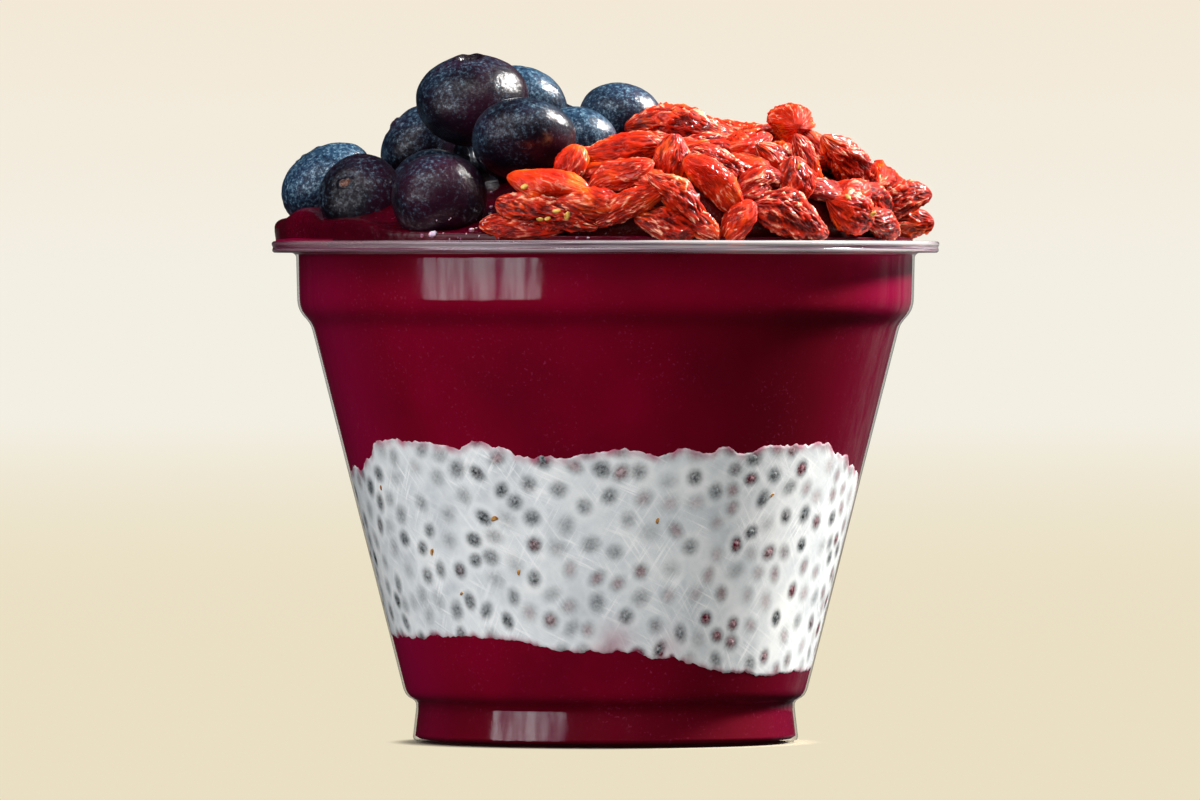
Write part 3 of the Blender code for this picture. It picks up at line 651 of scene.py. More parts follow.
bleed_noise = np.array([[noise.noise(Vector((a * 0.35, z * 0.5, 3.0))) for a in chia_angles] for z in (0.0, 5.0)])
bleed = np.maximum(
    (1 - smooth(0.5, 2.0, chia_top - chia_height)) * np.clip(0.50 + 1.0 * bleed_noise[0], 0.1, 0.85),
    (1 - smooth(0.5, 1.5, chia_height - chia_low)) * np.clip(0.35 + 1.0 * bleed_noise[1], 0, 0.75))
for angle, height, reach, strength in ((2.5, 15.2, 2.4, 0.45), (-1.0, 13.8, 1.6, 0.5), (17.0, 14.5, 2.0, 0.25)):
    away = np.hypot(np.radians(chia_angles - angle) * 32, chia_height - height)
    bleed = np.maximum(bleed, strength * np.exp(-((away / reach) ** 2)))
CHIA_GEL = chia_gel()
chia_dark, chia_red, chia_coat = seed_masks(chia_angles, chia_height)
new_piece("chia_pudding_gel", chia_points, body_faces(CHIA_ROWS + 2, CHIA_COLUMNS), [CHIA_GEL], "chia_pudding",
          ["chia_pudding"], seed=padded(chia_dark), seed_red=padded(chia_red), coat=padded(chia_coat),
          bleed=padded(bleed), across=padded(laid_flat(chia_angles)), rise=padded(chia_height))

# %% [markdown]
# The seeds themselves are small flattened eggs, about 2 mm long. Those at the wall stand a tenth of a
# millimetre out of the sheet and the others hang behind it. They wear the gel's own material, so that
# the blurred grey of the sheet runs on over them. A few torn husks, toasted brown, lie against the wall.

# %% Seeds and husks
def tilted(along, across, tilt):
    """Places along and across a small body as places round and up the wall."""
    return along * math.sin(tilt) + across * math.cos(tilt), along * math.cos(tilt) - across * math.sin(tilt)


def seed_bodies():
    """The seeds' points and faces, and the numbers that the gel's material reads at each point."""
    shape = egg(12)
    thick = 0.62
    points, faces, numbers = [], [], []
    for angle, height, half_length, half_width, tilt, depth, redness, place, _ in SEEDS:
        if not low_seam([angle])[0] + 0.8 < height < top_seam([angle])[0] - 0.8:
            continue
        along, across = shape[:, 0] * (0.85 * half_length), shape[:, 1] * (0.75 * half_width)
        x, z = tilted(along, across, tilt)
        radius = wall_radius(height + z, thick + 0.14 + 2.4 * max(0.0, depth - 0.35)) + shape[:, 2] * thick
        faces += body_faces(6, 12, len(points) * len(shape))
        points.append(at_angle(radius, angle + np.degrees(x / FLAT_RADIUS), height + z))
        spot, warm = seed_look(angle, depth, redness, np.hypot(along / half_length, across / half_width))
        numbers.append(np.stack([spot, warm, place + x, height + z, 0 * x, 0 * x]))
    names = ("seed", "seed_red", "across", "rise", "coat", "bleed")
    return np.concatenate(points), faces, dict(zip(names, np.concatenate(numbers, 1)))


points, faces, numbers = seed_bodies()
new_piece("chia_seeds", points, faces, [CHIA_GEL], "chia_pudding", **numbers)

# Angle round from the front, height, length, tilt.
HUSKS = ((-26.5, 33.2, 1.3, 75), (-46.6, 28.2, 1.2, 30), (-21.7, 25.4, 0.9, 20), (-39.0, 22.2, 0.7, 60),
         (12.0, 32.9, 0.9, 10), (41.0, 36.5, 0.8, 45), (-62.0, 37.4, 0.8, 15), (120.0, 30.0, 1.1, 40),
         (-140.0, 24.0, 1.0, 70), (165.0, 35.0, 1.2, 20))


def husk_bodies():
    """The husks: thin bent slivers lying against the wall."""
    run = np.linspace(-0.5, 0.5, 9)[1:-1, None]
    turns = np.linspace(0, 2 * math.pi, 8, endpoint=False)
    points, faces = [], []
    for angle, height, length, tilt in HUSKS:
        width = 0.25 * length * np.sqrt(1 - (2 * run) ** 2)
        along = np.pad(np.repeat(run * length, 8, 1).ravel(), 1, constant_values=(-length / 2, length / 2))
        across = np.pad((width * np.cos(turns)).ravel(), 1) + 0.35 * along**2
        x, z = tilted(along, across, math.radians(tilt))
        radius = wall_radius(height + z, 0.17) + np.pad(np.tile(0.08 * np.sin(turns), 7), 1)
        faces += body_faces(7, 8, len(points) * len(along))
        points.append(at_angle(radius, angle + np.degrees(x / FLAT_RADIUS), height + z))
    return np.concatenate(points), faces


toasted_husk, *_ = speckled("toasted_seed_husk", 0.6, 1.5, 1800.0, ((0.35, "#8A5218"), (0.65, "#E2A64A")))
new_piece("seed_husks", *husk_bodies(), [toasted_husk], "chia_pudding")

# %% [markdown]
# ### Acai
# Acai is a frozen fruit blend, a crimson purple so deep that it is nearly black in shade. Against the
# wall it is matt, with ice specks a few tenths of a millimetre wide. On top it has begun to melt, so it
# is wet and glossy, it creeps up round each berry, and on the left it has slid over the rim.

# %% Mound
# Centre, width, height as a share of the width, the crown's direction (compass, elevation), and how waxy.
BLUEBERRIES = (
    (-19.3, -16.2, 93.8, 16.6, 0.79, 250, 76, 0.35), (-40.6, -6.2, 81.6, 14.6, 0.76, 172, 58, 1.15),
    (-35.7, -21.3, 79.9, 12.4, 0.77, 63, -22, 0.35), (-24.0, -33.9, 79.5, 14.0, 0.89, 120, 68, 0.30),
    (-11.8, -28.8, 88.0, 15.2, 0.76, 80, 70, 0.40), (-27.3, -3.4, 87.6, 12.8, 0.75, 10, -40, 0.50),
    (-24.9, -15.7, 81.2, 12.4, 0.84, 90, 60, 0.35), (-12.0, 5.3, 93.1, 13.6, 0.80, 45, 50, 1.20),
    (-4.1, -13.9, 87.5, 12.2, 0.84, 60, 62, 1.00), (2.3, 0.9, 90.8, 13.0, 0.84, 60, 60, 0.80),
    (-13.3, -5.4, 86.8, 12.2, 0.84, 10, 70, 0.50), (-39.8, 8.1, 81.3, 13.2, 0.84, 180, 60, 0.70),
    (-34.6, 21.6, 79.7, 12.8, 0.83, 120, 70, 0.40), (-20.3, 35.4, 81.1, 12.8, 0.85, 100, -65, 0.80),
    (-3.7, 40.3, 81.2, 13.4, 0.82, 80, 70, 0.50), (-22.2, 23.0, 83.8, 12.6, 0.84, 220, 70, 0.60),
    (-7.1, 16.8, 88.3, 13.0, 0.82, 300, 65, 0.70), (-26.5, 9.7, 85.3, 13.2, 0.83, 60, 75, 0.50),
    (4.0, 28.6, 85.2, 13.8, 0.81, 20, 68, 0.90), (5.3, 14.3, 88.6, 11.8, 0.84, 140, 65, 0.60),
    (-9.6, 28.8, 84.4, 12.9, 0.83, 250, 72, 0.40), (-19.6, 16.4, 93.3, 12.6, 0.82, 300, 76, 0.50),
)
LIP_ANGLE, LIP_SPREAD, LIP_RISE, LIP_REACH = -90.0, 52.0, 3.0, 3.45
MOUND_RISE, EDGE_LIFT = 10.5, 0.5
# Where the scoop left the acai higher between the berries: place, rise and reach.
HEAPED = ((-31.5, -13.0, 2.6, 6.0), (-41.0, -15.0, 1.8, 5.0), (-31.5, -22.5, 3.6, 5.0), (-28.0, -19.0, 2.4, 4.0),
          (-36.0, -31.0, 0.8, 4.0), (-15.0, -34.0, 1.0, 5.0))


def lip_share(angles):
    """How far the acai has slid over the rim, from 0 to 1."""
    away = (np.asarray(angles) - LIP_ANGLE + 180) % 360 - 180
    return np.exp(-((away / LIP_SPREAD) ** 2))


def mound_top(x, y):
    """Height of the acai's surface, with its lumps and the collars round the sunk berries."""
    share = np.hypot(x, y) / 44.75
    dome = RIM_TOP + EDGE_LIFT + MOUND_RISE * np.clip(1 - share**2, 0, 1) ** 1.5
    lumps = np.sin(x / 5.2 + 0.7) * np.cos(y / 6.1) + 0.6 * np.sin((x - y) / 3.7)
    lip = LIP_RISE * lip_share(np.degrees(np.arctan2(x, -y))) * share**6
    height = dome + lip + 0.4 * lumps * np.clip(1 - share**4, 0, 1)
    for at_x, at_y, rise, reach in HEAPED:
        height = height + rise * np.exp(-((x - at_x) ** 2 + (y - at_y) ** 2) / reach**2)
    for berry in BLUEBERRIES[:8]:
        away = np.hypot(x - berry[0], y - berry[1]) - 0.36 * berry[3]
        height = height + 0.9 * np.exp(-np.clip(away, 0, None) / 1.3) * (berry[2] < 84) * smooth(0, 0.15, 1 - share)
    return height


# %% Upper acai
ACAI_COLUMNS = 400
IN_WALL = 0.34  # The food reaches this far in from the cup's outside, just into its wall.
acai_angles = np.linspace(-180, 180, ACAI_COLUMNS, endpoint=False)
acai_seam = top_seam(acai_angles)
lip = lip_share(acai_angles)
mound_edge, lip_level = BAND_RADIUS - WALL, RIM_TOP + 0.02
rows = [at_angle(mound_edge * share, acai_angles, 0.0) for share in np.linspace(0, 1, 34)[1:] ** 1.15]
for row in rows:
    row[:, 2] = mound_top(row[:, 0], row[:, 1])
drop = rows[-1][:, 2] - lip_level
for turn_by in np.radians(np.arange(12, 151, 12)):
    out = (0.35 + lip * LIP_REACH) * math.sin(min(turn_by, math.pi / 2)) ** 0.62
    out = out * (1 - 0.06 * max(0.0, -math.cos(turn_by)))
    fall = 0.5 + 0.5 * math.copysign(abs(math.cos(turn_by)) ** 0.75, math.cos(turn_by))
    rows.append(at_angle(mound_edge + out, acai_angles, lip_level + drop * fall))
sunk = lip_level - 1.1 * smooth(0.3, 0.8, lip)
for out, height in ((0.3 + 0.97 * lip * LIP_REACH, sunk), (0.1, sunk), (0.05, RIM_TOP - 0.4)):
    rows.append(at_angle(mound_edge + out, acai_angles, height))
for share in np.linspace(0, 1, 44):
    height = RIM_TOP - 0.8 + (acai_seam - 1.6 - RIM_TOP + 0.8) * share
    rows.append(at_angle(wall_radius(height, IN_WALL), acai_angles, height))
acai_rings = np.array(rows)
acai_points = closed(acai_rings, (0, 0, float(mound_top(0.0, 0.0))), (0, 0, 41.0))


# %% Acai material
def acai_blend(name, wet):
    """Acai, melting and wet in the open air, or matt and pressed against the wall with painted light and shade."""
    material, tree, shader, place = new_material(name, 0.2 if wet else 0.6, 1.38)
    cloud = speckle(tree, place, 60.0, 5.0)
    if wet:
        body = ramp(tree, cloud, ((0.30, "#30000A"), (0.52, "#420010"), (0.72, "#560018")))
        put(tree, shader, {
            "Normal": relief(tree, speckle(tree, place, 420.0, 3.0), 0.4, 0.0006), "Specular IOR Level": 0.35,
            "Subsurface Weight": 0.12, "Subsurface Radius": (1.0, 0.15, 0.2), "Subsurface Scale": 0.0015})
    else:
        body = ramp(tree, cloud, ((0.30, "#620019"), (0.52, "#6E001C"), (0.72, "#780021")))
        # Painted light: a pinker sheen where the blend faces sideways.
        body = mix_colours(tree, stored(tree, "side"), body, linear("#7E0030"))
        # Painted shade: darker on the right, away from the soft box, and down in the foot under the step.
        body = mix_colours(tree, stored(tree, "shade"), body, linear("#3C0006"))
        put(tree, shader, {"Specular IOR Level": 0.04})
    specks = ranged(tree, speckle(tree, place, 2200.0, 2.0), 0.62, 0.74, 0.0, 0.3)
    frosty = ranged(tree, speckle(tree, place, 90.0, 3.0), 0.42, 0.62)
    ice = reckon(tree, "MULTIPLY", specks, frosty)
    put(tree, shader, {"Base Color": mix_colours(tree, ice, body, linear("#A83C60"))})
    return material


def light_on(rings):
    """How much painted pink sheen each point gets where it faces sideways, and how much painted shade on the right and
    down in the foot.
    """
    turned = rings[..., 0] / np.hypot(rings[..., 0], rings[..., 1])
    right = smooth(0.0, 0.7, turned) * (1 - smooth(60, 66, rings[..., 2]))
    in_foot = 1 - smooth(5.5, 7.0, rings[..., 2])
    return {"side": np.pad(smooth(0.72, 1.0, np.abs(turned)).ravel(), 1),
            "shade": np.pad(np.maximum(0.55 * right, 0.5 * in_foot).ravel(), 1)}


acai_at_wall = acai_blend("frozen_acai_against_the_wall", False)
acai_wet = acai_blend("melting_acai_surface", True)
acai_faces = body_faces(len(acai_rings), ACAI_COLUMNS)
mound_piece = new_piece("acai_mound", acai_points, acai_faces, [acai_at_wall, acai_wet], "acai", ["acai_top"],
                        **light_on(acai_rings))
for face in mound_piece.data.polygons:
    face.material_index = int(face.center.z > (RIM_TOP - 0.3) * MM)

# %% Lower acai
base_seam = low_seam(acai_angles)
levels = [base_seam + 1.5 + (STEP_Z + 1.6 - base_seam - 1.5) * share for share in np.linspace(0, 1, 26)]
levels += [7.4, 7.0, 6.6, 6.3, 6.0, 5.6, 4.6, 3.6, 2.6, 1.9, 1.5, 1.1, 0.8]
floor = ((27.3, 0.42), (24.9, 0.42), (24.1, 1.15), (23.4, 1.5))
base_rings = np.array([
    at_angle(wall_radius(base_seam, 6.0), acai_angles, base_seam + 1.0),
    *[at_angle(wall_radius(height, IN_WALL), acai_angles, height) for height in levels],
    *[at_angle(radius, acai_angles, height) for radius, height in floor]])
new_piece("acai_foot_layer", closed(base_rings, (0, 0, 14.0), (0, 0, 1.5)),
          body_faces(len(base_rings), ACAI_COLUMNS), [acai_at_wall], "acai", ["acai_base"], **light_on(base_rings))

# %% [markdown]
# ## Blueberries
# A blueberry is a flattened ball, 12 to 17 mm wide. Its crown end has a crater with a ragged
# five-pointed rim, and its other end a small brown scar where the stem was. One function makes a berry
# from its width and height, and a table gives each its place, the way its crown points, and its size.

# %% One berry
BERRY_SIDES = 60
crown_steps = np.array([0.03, 0.07, 0.11, 0.15, 0.18, 0.205, 0.23, 0.25, 0.27, 0.29, 0.31, 0.34, 0.38, 0.44])
BERRY_TURNS = np.concatenate([np.arcsin(crown_steps), np.linspace(0.54, math.pi - 0.3, 27),
                              math.pi - np.arcsin(np.array([0.25, 0.2, 0.15, 0.11, 0.08, 0.05, 0.02]))])


def berry_body(width, height, seed):
    """A berry with its crown up: its points, and how near each is to the crown and to the scar."""
    half_width, half_height = width / 2, height / 2
    angles = np.linspace(0, 2 * math.pi, BERRY_SIDES, endpoint=False)
    turns, angles = np.meshgrid(BERRY_TURNS, angles, indexing="ij")
    share = np.sin(turns)
    up = np.cos(turns) > 0
    star = 0.55 + 0.45 * np.cos(5 * angles + seed) + 0.2 * np.cos(8 * angles + 2 * seed)
    z = half_height * np.sign(np.cos(turns)) * np.abs(np.cos(turns)) ** 0.96
    ragged = 0.27 + 0.02 * np.sin(5 * angles + seed) + 0.015 * np.sin(3 * angles)
    crater = -0.15 * (1 - smooth(0.08, 0.26, share)) + 0.022 * np.exp(-(((share - ragged) / 0.03) ** 2)) * star
    z = z + np.where(up, crater * half_width, 0)
    scar_edge = 0.105 * (1 + 0.22 * np.cos(2 * angles + 0.6) + 0.08 * np.sin(3 * angles))
    z = z + np.where(~up, half_width * (0.035 - 0.055 * np.exp(-((share / scar_edge - 1.15) / 0.3) ** 2)
                                        - 0.02) * (share < 0.3), 0)
    lumps = []
    for t, a in zip(turns.ravel(), angles.ravel()):
        out = Vector((math.sin(t) * math.cos(a), math.sin(t) * math.sin(a), math.cos(t)))
        spot = out + Vector((seed, 0, 0))
        lumps.append(0.030 * noise.noise(out * 1.3 + Vector((seed, 0, 0)))
                     + 0.010 * noise.noise(spot * 4.0) - 0.006 * max(0, 1 - 9 * abs(noise.noise(spot * 2.2))))
    swell = 1 + np.array(lumps).reshape(turns.shape)
    out = half_width * share * swell
    ring = np.stack([out * np.cos(angles), out * np.sin(angles), z * swell], -1)
    crown = np.where(up, 1 - smooth(0.20, 0.36, share), 0)
    scar = np.where(~up, 1 - smooth(0.9, 1.2, share / scar_edge), 0)
    return (closed(ring), np.pad(crown.ravel(), 1, constant_values=(1, 0)),
            np.pad(scar.ravel(), 1, constant_values=(0, 1)))


# %% All the berries
BRUISED, BRUISE = 4, (-8.4, -35.4, 87.9)  # A bruise has dried to brown cork on this one.
berry_points, berry_faces, berry_numbers = [], [], []
for number, (x, y, z, width, flatness, compass, elevation, waxy) in enumerate(BLUEBERRIES):
    points, crown, scar = berry_body(width, width * flatness, number * 1.7)
    berry_faces += body_faces(len(BERRY_TURNS), BERRY_SIDES, len(points) * number)
    placed = points @ np.array(heading(compass, elevation).to_track_quat("Z", "Y").to_matrix()).T
    patches = np.array([noise.noise(Vector(p) / 5.0 + Vector((number, 0, 0))) for p in placed])
    lit = (placed @ np.array([-0.35, -0.1, 0.93])) / width * 2
    berry_points.append(placed + (x, y, z))
    if number == BRUISED:
        away = np.linalg.norm(berry_points[-1] - BRUISE, axis=1)
        scar = np.maximum(scar, 0.75 * (1 - smooth(0.4, 1.3, away)))
    # Painted sheen: the bloom's share rises where a berry faces up and left, towards the lights.
    berry_numbers.append([crown, scar, waxy * (0.25 + 0.75 * smooth(-0.5, 0.8, lit)) + 0.22 * patches])
berry_points = np.concatenate(berry_points)

# %% [markdown]
# The skin is blue-black anthocyanin under a bloom of pale wax, which rubs off in patches. The wax is
# what makes a berry look blue: it is rough and bluish white, and thickest where nothing has touched it.
# Its share is also painted higher on each berry's upper left, towards the lights, as a painted sheen.
# Where it is gone the skin is dark and shiny. Fine wrinkles, about 0.4 mm apart, make the highlight sparkle.

# %% Blueberry skin
def blueberry_skin():
    """Dark skin under a bloom that is partly gone and painted paler towards the lights, with a dried crown and a corky
    scar.
    """
    material, tree, shader, place = new_material("waxy_blueberry_skin", 0.36, 1.45)
    grain = speckle(tree, place, 1700.0, 5.0, {"Roughness": 0.75})
    tone = speckle(tree, place, 90.0, 3.0)
    under = ramp(tree, tone, ((0.35, "#08050B"), (0.50, "#110814"), (0.65, "#280A1C")))
    wax = ramp(tree, grain, ((0.35, "#0E1628"), (0.52, "#26445E"), (0.70, "#84A4B6")))
    # The stored share is the bloom together with the painted sheen towards the lights.
    broken = reckon(tree, "MULTIPLY_ADD", grain, 1.3, stored(tree, "wax"))
    skin = mix_colours(tree, ranged(tree, broken, 0.85, 1.60, 0.0, 0.85), under, wax)
    dried = mix_colours(tree, stored(tree, "crown"), skin, linear("#160A12"))
    cork = ramp(tree, grain, ((0.4, "#2A120C"), (0.6, "#704430")))
    crease = speckle(tree, place, 1500.0, 5.0, {"Roughness": 0.75, "Distortion": 0.8})
    put(tree, shader, {
        "Base Color": mix_colours(tree, stored(tree, "scar"), dried, cork),
        "Normal": relief(tree, crease, 0.5, 0.00022), "Coat Normal": relief(tree, crease, 0.35, 0.00024),
        "Coat Weight": ranged(tree, grain, 0.44, 0.56, 0.20, 1.0),
        "Coat Roughness": 0.04, "Coat IOR": 1.45, "Specular IOR Level": 0.12})
    return material


crown, scar, wax = np.concatenate(berry_numbers, 1)
new_piece("blueberries", berry_points, berry_faces, [blueberry_skin()], "blueberry_skin",
          [f"blueberry_{number:02d}" for number in range(1, 23)], crown=crown, scar=scar, wax=wax)

# %% [markdown]
# ## Dried goji berries
# A dried goji is a small chilli-red fruit, 8 to 16 mm long, that has shrunk round its seeds. Its skin
# folds into sharp ridges along its length, which wander and join. One function makes a piece: a
# spindle, flattened, bent and twisted, with two sizes of ridge from noise that is stretched
# along its length. The pieces in view are placed one by one, and the rest fill the heap.

# %% The heap's surface
HEAP_FOOT, HEAP_RISE, HEAP_RADIUS = 75.0, 14.0, 48.0
HEAP_LINE = ((-48.0, -16.5), (-30.0, -8.0), (4.0, 8.5), (48.0, 5.0))


def past_line(x, y):
    """How far a place lies right of the line between blueberries and gojis."""
    return x - np.interp(y, *zip(*HEAP_LINE))


def heap_height(x, y):
    """Height of the goji heap through its pieces' centres."""
    share = np.clip(np.hypot(x, y) / HEAP_RADIUS, 0, 1)
    crest = HEAP_RISE * (1 - share**4) ** 0.8
    return HEAP_FOOT + np.minimum(crest, 2.2 * np.clip(past_line(x, y), 0, None))


def heap_normal(x, y):
    """The heap's outward direction at a place."""
    return Vector((float(heap_height(x - 0.5, y) - heap_height(x + 0.5, y)),
                   float(heap_height(x, y - 0.5) - heap_height(x, y + 0.5)), 1.0)).normalized()


# %% One goji
def goji_body(length, width, seed, rings, sides, wrinkled, flatness):
    """A dried goji along X, its points and how high each stands on a ridge."""
    draw = random.Random(seed)
    along = np.linspace(0, 1, rings + 2)
    along = (0.4 * along + 0.6 * (0.5 - 0.5 * np.cos(math.pi * along)))[1:-1]
    angles = np.linspace(0, 2 * math.pi, sides, endpoint=False)
    u, v = np.meshgrid(along, angles, indexing="ij")
    offset = Vector((draw.uniform(0, 50), draw.uniform(0, 50), draw.uniform(0, 50)))
    folds = []
    for a, b in zip(u.ravel(), v.ravel()):
        spot = Vector((math.cos(b) * width / 2, math.sin(b) * width / 2, a * length * 0.36))
        spot += 0.9 * noise.noise_vector(spot * 0.45 + offset)
        swell = noise.noise(spot * 0.33 + offset)
        coarse = 1 - min(1.0, abs(noise.noise(spot * 0.85 + offset)) * 3.2)
        fine = 1 - min(1.0, abs(noise.noise(spot * 1.9 + offset * 2)) * 2.8)
        folds.append((swell, coarse, fine))
    folds = np.array(folds).reshape(*u.shape, 3)
    crest = wrinkled * (0.24 * folds[..., 1] ** 1.8 + 0.13 * folds[..., 2] ** 1.5)
    crease_at = draw.uniform(0.9, 2.3)
    crease = 0.25 * wrinkled * draw.uniform(0.1, 1.0) * np.exp(-(((v - crease_at) / 0.4) ** 2))
    profile = np.sin(math.pi * u ** draw.uniform(0.78, 1.25)) ** draw.uniform(0.46, 0.62)
    radius = width / 2 * profile * (0.90 + 0.45 * folds[..., 0] + crest - crease)
    twist = draw.uniform(-0.9, 0.9) * (u - 0.5)
    y = radius * np.cos(v + twist)
    z = radius * np.sin(v + twist) * flatness
    bow = draw.uniform(0.1, 0.5) * length * (0.08 - (u - 0.5) ** 2)
    sway = draw.uniform(-0.05, 0.05) * length * np.sin(2 * math.pi * u + draw.uniform(0, 6))
    ring = np.stack([(u - 0.5) * length, y + sway, z + bow], -1)
    height = (np.clip(folds[..., 1] ** 1.7 * 0.6 + folds[..., 2] ** 1.5 * 0.5, 0, 1) - 0.5) * wrinkled + 0.5
    unbent = np.stack([np.cos(v) * width / 2, np.sin(v) * width / 2, u * length * 0.36], -1) + np.array(offset)
    return closed(ring), np.pad(height.ravel(), 1, constant_values=0.5), closed(unbent)


def goji_frame(row, outward):
    """Rotation that lays a goji along its direction with its broad side outwards."""
    along = heading(row[5], row[6])
    across = outward.cross(along).normalized()
    return np.array(Matrix((along, across, along.cross(across))).transposed())


# %% Gojis in view
# Centre, length, width, direction (compass, elevation), how wrinkled, and how orange.
GOJI_PIECES = (
    (10.6, -10.0, 89.8, 15.8, 6.0, 4, -4, 1.0, 0.35), (19.5, 1.0, 89.3, 11.2, 4.2, 10, -14, 0.8, 0.45),
    (26.9, -8.0, 90.3, 12.0, 6.8, -80, 2, 0.35, 0.75), (2.8, -33.5, 86.4, 11.6, 4.8, 4, 8, 0.6, 0.7),
    (2.2, -41.0, 82.6, 10.6, 4.8, 2, 25, 0.5, 0.75), (-5.0, -37.2, 83.4, 7.8, 4.6, -6, 74, 0.5, 0.8),
    (-8.2, -42.4, 81.0, 12.8, 5.4, -9, -12, 0.25, 1.0), (-8.4, -44.2, 77.2, 15.5, 5.0, -8, -13, 1.0, 0.35),
    (-12.2, -43.3, 75.4, 12.8, 3.8, -14, -4, 0.7, 0.1), (3.1, -44.9, 78.2, 12.4, 4.2, 3, 24, 0.6, 0.6),
    (10.4, -43.8, 79.2, 11.6, 4.4, 11, -42, 0.8, 0.6), (8.7, -44.1, 75.6, 9.5, 4.6, 10, -12, 0.9, 0.35),
    (9.7, -36.5, 84.5, 8.6, 4.8, 12, 84, 0.7, 0.6), (16.4, -39.7, 81.1, 13.0, 4.8, 18, -41, 0.45, 0.9),
    (18.0, -35.3, 83.5, 13.0, 4.8, 22, -26, 1.0, 0.3), (20.5, -25.4, 86.6, 10.5, 4.4, 31, 21, 0.4, 0.7),
    (25.2, -27.3, 84.8, 9.6, 4.2, 34, -33, 0.9, 0.35), (27.1, -32.9, 81.4, 8.4, 5.6, 32, 83, 0.8, 0.6),
    (29.5, -25.4, 83.9, 11.0, 3.8, 39, -58, 0.8, 0.45), (35.6, -15.6, 83.9, 13.8, 6.4, 40, -45, 0.9, 0.3),
    (26.6, -36.4, 76.6, 14.4, 5.8, 29, -17, 1.0, 0.35), (35.6, -28.4, 77.6, 9.5, 5.6, 41, -22, 0.8, 1.0),
    (43.4, -8.2, 79.5, 10.0, 4.4, 20, 8, 1.0, 0.45), (40.2, -19.8, 75.8, 10.5, 4.4, 61, -12, 1.0, 0.4),
    (44.6, -4.0, 75.7, 7.6, 4.2, 17, 10, 0.9, 0.6), (19.2, -40.6, 75.7, 8.0, 4.2, 20, 58, 0.5, 0.7),
    (13.8, -42.7, 75.5, 7.4, 4.0, 14, -45, 0.8, 0.2), (30.7, -7.8, 86.8, 9.0, 4.2, 45, -40, 0.6, 0.5),
)


def fill_gojis(count, spacing, seed):
    """Seeded pieces that lie along the heap's surface wherever it is bare."""
    draw = random.Random(seed)
    rows = list(GOJI_PIECES)
    for _ in range(30000):
        radius, turned = 44.6 * math.sqrt(draw.random()), draw.uniform(-math.pi, math.pi)
        x, y = radius * math.cos(turned), radius * math.sin(turned)
        length = draw.uniform(9.0, 14.0)
        compass = math.degrees(turned) + 90 + draw.uniform(-80, 80) * (1 - radius / HEAP_RADIUS)
        way = heading(compass, 0)
        normal = heap_normal(x, y)
        elevation = math.degrees(math.atan2(-normal.dot(way), normal.z)) + draw.uniform(-12, 12)
        z = float(heap_height(x, y)) + draw.uniform(-1.0, 0.5) - (1.3 if y < -8 else 0.0)
        width = draw.uniform(3.8, 5.4)
        place = Vector((x, y, z))
        reach = max((place + s * length * way).xy.length for s in (-0.45, 0.45)) + width / 2
        top = z + abs(length / 2 * math.sin(math.radians(elevation))) + 0.35 * width
        if past_line(x, y) < 1.5 or reach > 48.6 or z < 75.6 or top > 91.0:
            continue
        if min((place - Vector(row[:3])).length for row in rows) < spacing:
            continue
        if min((place - Vector(berry[:3])).length - berry[3] / 2 for berry in BLUEBERRIES) < width * 0.45:
            continue
        rows.append((x, y, z, length, width, compass, elevation, draw.uniform(0.5, 1.0), draw.random() ** 1.3))
        if len(rows) == count:
            break
    return rows[len(GOJI_PIECES):]


FILL = fill_gojis(120, 4.7, 5)
print("gojis in view:", len(GOJI_PIECES), "and filling the heap:", len(FILL))

# %% [markdown]
# Dried goji skin is thin and a little sticky, and the flesh under it lets light through, so a thick
# ridge glows orange while a fold goes dark red. Subsurface scattering of about a millimetre gives a little
# of that glow. The colour paints the rest: a painted glow on the ridges and on each piece's upper side,
# and painted shade in the folds. A thin oily coat gives the small white glints, and painted pale glints
# sit on the fine crests. Finer wrinkles, about 0.5 mm apart, are left to bump.
# They follow each piece's length, since the noise is read at the place each point had before bending.

# %% Goji skin
def goji_skin():
    """Red skin, with painted shade in its folds, a painted glow on ridges and upper sides, and painted glints on fine
    crests.
    """
    material, tree, shader, place = new_material("dried_goji_skin", 0.55, 1.45)
    ridge = stored(tree, "ridge")
    tone = speckle(tree, place, 260.0, 4.0)
    deep = ramp(tree, tone, ((0.3, "#580200"), (0.55, "#8E0500"), (0.75, "#B61000")))
    bright = ramp(tree, tone, ((0.3, "#B81400"), (0.55, "#E23000"), (0.75, "#FF6E04")))
    # Painted glow: ridges are made oranger, and the orange number also carries a glow painted on each piece's upper
    # side.
    painted_ridge_glow = reckon(tree, "MULTIPLY", ridge, 0.35)
    orange = reckon(tree, "MULTIPLY_ADD", stored(tree, "orange"), 0.75, painted_ridge_glow, use_clamp=True)
    body = mix_colours(tree, orange, deep, bright)
    # Painted shade: the folds, low on the ridge number, are darkened towards #3E0000.
    body = mix_colours(tree, ranged(tree, ridge, 0.45, 0.10, 0.0, 0.85), body, linear("#3E0000"))
    unbent = add(tree, "ShaderNodeCombineXYZ", {axis: stored(tree, "fold_" + axis.lower()) for axis in "XYZ"})
    fine = speckle(tree, unbent.outputs["Vector"], 1.25, 2.0, {"Distortion": 0.5})
    crest = ranged(tree, reckon(tree, "ABSOLUTE", reckon(tree, "SUBTRACT", fine, 0.5)), 0.0, 0.08, 1.0, 0.0)
    raised = ranged(tree, ridge, 0.42, 0.68)
    # Painted glints: pale spots on the raised fine crests, in patches.
    glint_patches = ranged(tree, speckle(tree, place, 180.0, 2.0), 0.40, 0.54, 0.0, 0.95)
    painted_crest_glints = reckon(tree, "MULTIPLY", reckon(tree, "MULTIPLY", crest, raised), glint_patches)
    wrinkles = relief(tree, crest, 0.6, 0.00018)
    put(tree, shader, {
        "Base Color": mix_colours(tree, painted_crest_glints, body, linear("#FFC09C")),
        "Normal": wrinkles, "Coat Normal": wrinkles, "Specular IOR Level": 0.10,
        "Subsurface Weight": 0.10, "Subsurface Radius": (1.0, 0.2, 0.06), "Subsurface Scale": 0.0010,
        "Coat Weight": 0.35, "Coat Roughness": 0.10})
    return material


